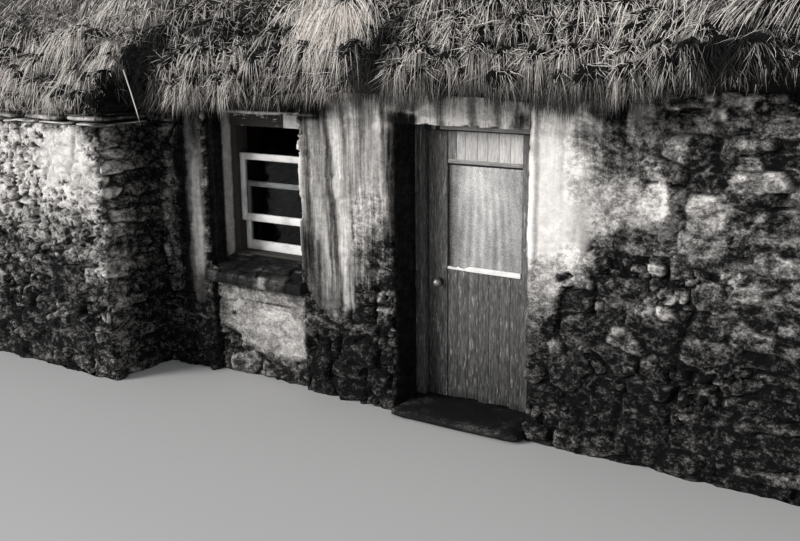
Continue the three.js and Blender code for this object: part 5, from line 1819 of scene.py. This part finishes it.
# Door: the joints between its upper boards, its ledges' heights, and the points round a turned part
UPPER_JOINTS = (-0.2617, -0.2, -0.135, -0.05, 0.02, 0.098, 0.176, 0.2617)
LEDGES = ((0.26, 0.36), (0.822, 0.922), (1.70, 1.798))
TURNED_AROUND = 32


def turned(parcel, profile, centre, **values):
    """A profile of (radius, Y) points spun about a line along Y through the centre."""
    profile = np.array(profile)
    angle = np.arange(TURNED_AROUND) * 2 * math.pi / TURNED_AROUND
    radius = profile[:, :1]
    x = centre[0] + radius * np.sin(angle)
    z = centre[2] + radius * np.cos(angle)
    y = np.broadcast_to(centre[1] + profile[:, 1:], x.shape)
    parcel.add_rings(np.stack([x, y, z], axis=-1), **values)


def make_door_frame():
    """Two posts and a head, with a batten and a small peg nailed on the head."""
    x, y, z = extent("door_frame")
    leaf_x, _, leaf_z = extent("door_leaf")
    clear = leaf_x[1] + 0.005
    post_y = (y[0] + 0.015, y[1])
    parcel = Parcel()
    board(parcel, (x[0], -clear), post_y, z, "z", edge=0.006, salt=71, pale=0.31)
    board(parcel, (clear, x[1]), post_y, z, "z", edge=0.006, salt=72, pale=0.3)
    for low, foot in ((x[0] + 0.014, 0.9), (x[0] + 0.05, 0.7)):
        board(parcel, (low, low + 0.004), (post_y[0] - 0.003, post_y[0] + 0.002), (foot, 1.8), "z",
              edge=0.0015, wear=0.006, salt=76, pale=0.46, pitch=0.03)
    board(parcel, (-clear - 0.002, clear + 0.002), (post_y[0] + 0.002, y[1] - 0.002),
          (leaf_z[1] + 0.005, z[1]), "x", edge=0.005, salt=73, pale=0.15)
    board(parcel, (-0.283, clear), (y[0], post_y[0] + 0.001), (1.812, 1.838), "x", edge=0.003, wear=0.002,
          loss=-0.2, salt=74, pale=0.68)
    board(parcel, (-0.345, -0.318), (y[0] + 0.002, post_y[0] + 0.001), (1.808, z[1]), "z", edge=0.003,
          loss=-0.2, salt=75, pale=0.5)
    parcel.piece("door_frame", "door_paint", DOOR)


def make_leaf():
    """The leaf: wide stiles, a thin rail over the pane, ledges behind, and a rose on each face."""
    x, _, z = extent("door_leaf")
    board_x, board_y, _ = extent("door_lower_boards")
    face, back = 0.274, 0.314
    stile = board_x[0] - x[0]
    parcel = Parcel()
    board(parcel, (x[0], x[0] + stile), (face, back), z, "z", loss=-0.04, salt=81, wear=0.0016, pale=0.4,
          fade=0.4)
    board(parcel, (x[1] - stile, x[1]), (face, back), z, "z", loss=-0.02, salt=82, wear=0.0016, pale=0.42,
          fade=0.4)
    inner = (board_x[0] - 0.002, board_x[1] + 0.002)
    board(parcel, inner, (face + 0.007, back - 0.002), (1.598, 1.622), "x", salt=83, pale=0.62)
    # A dark strip under the rail: the rail's painted shadow.
    board(parcel, inner, (face + 0.012, back - 0.004), (1.586, 1.600), "x", loss=0.2, salt=88, pale=0.06)
    for index, ledge in enumerate(LEDGES):
        board(parcel, inner, (board_y[1] + 0.0005, back), ledge, "x", loss=0.05, salt=84 + index)
    knob_x, _, knob_z = extent("door_knob")
    centre = (sum(knob_x) / 2, 0.0, sum(knob_z) / 2)
    rose, rose_end, lip = 0.026, 0.024, 0.0012
    for low, high in ((face - 0.004, face + 0.0005), (back - 0.0005, back + 0.004)):
        profile = [(rose_end, low), (rose, low + lip), (rose, high - lip), (rose_end, high)]
        turned(parcel, profile, centre, grain=np.zeros((4, TURNED_AROUND, 3)), loss=0.6, pale=0.2)
    parcel.piece("door_leaf", "door_paint", DOOR, "door")


def make_boards():
    """The boards above and below the pane, each with rounded edges that make the grooves."""
    x, y, z = extent("door_upper_boards")
    parcel = Parcel()
    for index, (low, high) in enumerate(zip(UPPER_JOINTS, UPPER_JOINTS[1:])):
        # The first board is darker by 0.26: painted shadow of the doorway's left side.
        board(parcel, (low + 0.0006, high - 0.0006), y, z, "z", edge=0.0035, loss=-0.1, salt=91 + index,
              pale=0.8 + 0.02 * index - (0.26 if index == 0 else 0.0))
    parcel.piece("door_upper_boards", "door_paint", DOOR, "door")
    x, y, z = extent("door_lower_boards")
    joints = np.linspace(*x, 8)
    parcel = Parcel()
    for index, (low, high) in enumerate(zip(joints, joints[1:])):
        board(parcel, (low + 0.0004, high - 0.0004), y, (z[0] + 0.006 * (index % 3), z[1]), "z", edge=0.0028,
              loss=0.0, salt=101 + index, pale=0.35 + 0.01 * math.sin(4 * index), fade=0.32)
    parcel.piece("door_lower_boards", "door_paint", DOOR, "door")


def make_pane():
    """A thin sheet in vertical folds: each row is the same wave, shifted a little as it hangs."""
    x, y, z = extent("door_pane")
    fold = 0.062
    front = np.linspace(*x, 90)
    rows = np.linspace(*z, 40)[:, None]
    phase = 1.2 * fractal(front * 3, rows * 1.5, 2, 301)
    spread = 1 + 0.25 * smooth(z[0], z[1], rows)
    wave = np.sin(front * spread * 2 * math.pi / fold + phase)
    front_y = y[0] + 0.002 + 0.0018 * wave * smooth(0.0, 0.06, x[1] - np.abs(front) + 0 * rows)
    back_y = np.broadcast_to(y[1] - 0.0002, front_y.shape)
    depth = np.concatenate([front_y, back_y[:, ::-1]], axis=1)
    across = np.concatenate([front, front[::-1]])
    rings = np.stack([*np.broadcast_arrays(across, depth, rows)], axis=-1)
    low_down = smooth(z[1] - 0.12, z[1] - 0.32, rows)
    fold_shade = low_down * smooth(-0.26, -0.08, front) * smooth(0.24, 0.1, front)
    middle = smooth(0.3, 0.0, np.hypot(front + 0.01, 0.6 * (rows - z[1] + 0.12)))
    # The sheet's lightness: painted shade in its low folds and towards its left, lightest near the top
    # middle.
    level = 0.64 + 0.18 * middle - 0.07 * fold_shade * wave - 0.16 * smooth(-0.14, -0.24, front)
    # Painted shadow of the doorway's left side down the left edge, a little painted shade at the right.
    level = level - 0.3 * smooth(-0.22, -0.26, front) - 0.06 * smooth(0.22, 0.26, front)
    level = np.concatenate([level, level[:, ::-1]], axis=1)
    parcel = Parcel()
    parcel.add_rings(rings, caps="strip", level=level)
    parcel.piece("door_pane", "obscure_glass", SHEET, "door")


def make_strip():
    """The white strip under the pane: whole at its right, broken thin and ragged at its left."""
    x, y, z = extent("door_strip")
    places = even(*x, 0.006)
    ragged = 0.5 + 0.5 * fractal(places * 60, 0 * places, 3, 311)
    whole = smooth(x[0] + 0.09, x[0] + 0.17, places)
    tall = (z[1] - z[0]) * np.maximum(whole, 0.28 + 0.5 * ragged * (1 - whole))
    proud = (y[1] - y[0]) * np.maximum(0.9 * whole + 0.1, 0.5)
    profile = np.array([(1, 0.0), (1, 0.5), (1, 1.0), (0.55, 1.0), (0.06, 0.98), (0.0, 0.86), (0.0, 0.1),
                        (0.06, 0.0)])
    ring_y = y[1] - proud[:, None] * (1 - profile[:, 0])
    ring_z = z[0] + tall[:, None] * profile[:, 1]
    rings = np.stack([np.broadcast_to(places[:, None], ring_y.shape), ring_y, ring_z], axis=-1)
    grain = np.stack([ring_z - z[0], ring_y - y[0], rings[..., 0]], axis=-1)
    loss = np.broadcast_to((0.3 * (1 - whole) - 0.12)[:, None], ring_y.shape)
    parcel = Parcel()
    parcel.add_rings(rings, grain=grain, loss=loss)
    parcel.piece("door_strip", "white_paint", WHITE, "door")


def make_knob():
    """A ball knob on each face: a neck, then a rounded ball, spun about the spindle."""
    x, y, z = extent("door_knob")
    centre = (sum(x) / 2, sum(y) / 2, sum(z) / 2)
    reach = (y[1] - y[0]) / 2
    radius = (x[1] - x[0]) / 2
    angle = np.linspace(-0.32 * math.pi, 0.5 * math.pi, 16)
    ball_radius = radius * np.cos(angle)
    ball_y = reach - radius * 0.92 + radius * 0.92 * np.sin(angle)
    side = [(0.006, 0.0243), (0.009, 0.0246), (0.0095, ball_y[0] - 0.006), *zip(ball_radius, ball_y)]
    side[-1] = (0.0008, reach)
    profile = [(r, -d) for r, d in reversed(side)] + side
    parcel = Parcel()
    turned(parcel, profile, centre)
    parcel.piece("door_knob", "iron", KNOB, "knob")


def finish_nodes():
    """The frame's own nodes whose shapes are right get their finished materials."""
    finishes = {"floor_flags": FLOOR}
    for timber in ("ridge_board", "wall_plate_front", "wall_plate_back"):
        finishes[timber] = TIMBER
    for pane in ("window_upper", "window_lower", "end_window_upper", "end_window_lower", "back_window"):
        finishes[f"{pane}_pane"] = GLASS
    for iron in ("pintle_bottom", "pintle_top", "strap_bottom", "strap_top"):
        finishes[f"hinge_{iron}"] = IRON
    for index in range(1, 6):
        finishes[f"rafter_couple_{index}"] = TIMBER
    for name, finish in finishes.items():
        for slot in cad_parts[name].material_slots:
            slot.material = finish


# Stage, light and camera
def make_stage():
    """A plain pale floor, soft light from the left front, a weak fill from behind and an even sky."""
    half = 40.0
    corners = [(-half, -half, 0), (half, -half, 0), (half, half, 0), (-half, half, 0)]
    mesh = bpy.data.meshes.new("studio_floor")
    mesh.from_pydata(corners, [], [(0, 1, 2, 3)])
    made, recipe = start_material("studio floor")
    mesh.materials.append(end_material(made, recipe, Base_Color=grey(0.6, 0.02), Roughness=0.95))
    floor = bpy.data.objects.new("studio_floor", mesh)
    bpy.context.scene.collection.objects.link(floor)

    def sun(name, toward, strength, softness):
        """A lamp that shines along toward, as soft as an angle in degrees."""
        light = bpy.data.lights.new(name, "SUN")
        light.energy = strength
        light.angle = math.radians(softness)
        lamp = bpy.data.objects.new(name, light)
        lamp.rotation_euler = Vector(toward).to_track_quat("-Z", "Y").to_euler()
        bpy.context.scene.collection.objects.link(lamp)

    sun("key_light", (0.56, 0.75, -0.3), 3.3, 24)
    sun("fill_light", (-0.4, -0.8, -0.6), 0.7, 40)
    world = bpy.data.worlds.new("even_sky")
    world.use_nodes = True
    background = world.node_tree.nodes["Background"]
    background.inputs["Color"].default_value = (0.92, 0.96, 1.0, 1)
    background.inputs["Strength"].default_value = 0.46
    bpy.context.scene.world = world


# The photograph's camera, as solved: where it is, its yaw, pitch and roll in degrees, and its lens
CAMERA_AT = (3.128, -5.319, 2.475)
CAMERA_TURN = (33.858, 13.433, -0.642)
CAMERA_LENS = 47.506
CAMERA_SENSOR = 36


def make_camera():
    """The photograph's camera: forward, right and up from its yaw and pitch, then turned by its roll."""
    yaw, pitch, roll = (math.radians(a) for a in CAMERA_TURN)
    forward = Vector((-math.sin(yaw) * math.cos(pitch), math.cos(yaw) * math.cos(pitch), -math.sin(pitch)))
    right = Vector((math.cos(yaw), math.sin(yaw), 0))
    up = right.cross(forward)
    across = math.cos(roll) * right + math.sin(roll) * up
    above = math.cos(roll) * up - math.sin(roll) * right
    data = bpy.data.cameras.new("camera")
    data.sensor_width = CAMERA_SENSOR
    data.lens = CAMERA_LENS
    camera = bpy.data.objects.new("camera", data)
    turn = Matrix((across, above, -forward)).transposed().to_4x4()
    camera.matrix_world = Matrix.Translation(CAMERA_AT) @ turn
    bpy.context.scene.collection.objects.link(camera)
    bpy.context.scene.camera = camera


make_camera()
make_front_wall()
make_right_wall()
make_outshot()
make_back_wall()
make_gables()
make_stack()
make_coping()
make_sill("window_sill")
make_sill("end_window_sill")
make_threshold()
make_shells()
make_outshot_straw()
make_eave_straw()
make_high_straw()
make_back_straw()
make_windows()
make_door_frame()
make_leaf()
make_boards()
make_pane()
make_strip()
make_knob()
finish_nodes()
make_stage()

bpy.context.scene.view_settings.view_transform = "Standard"
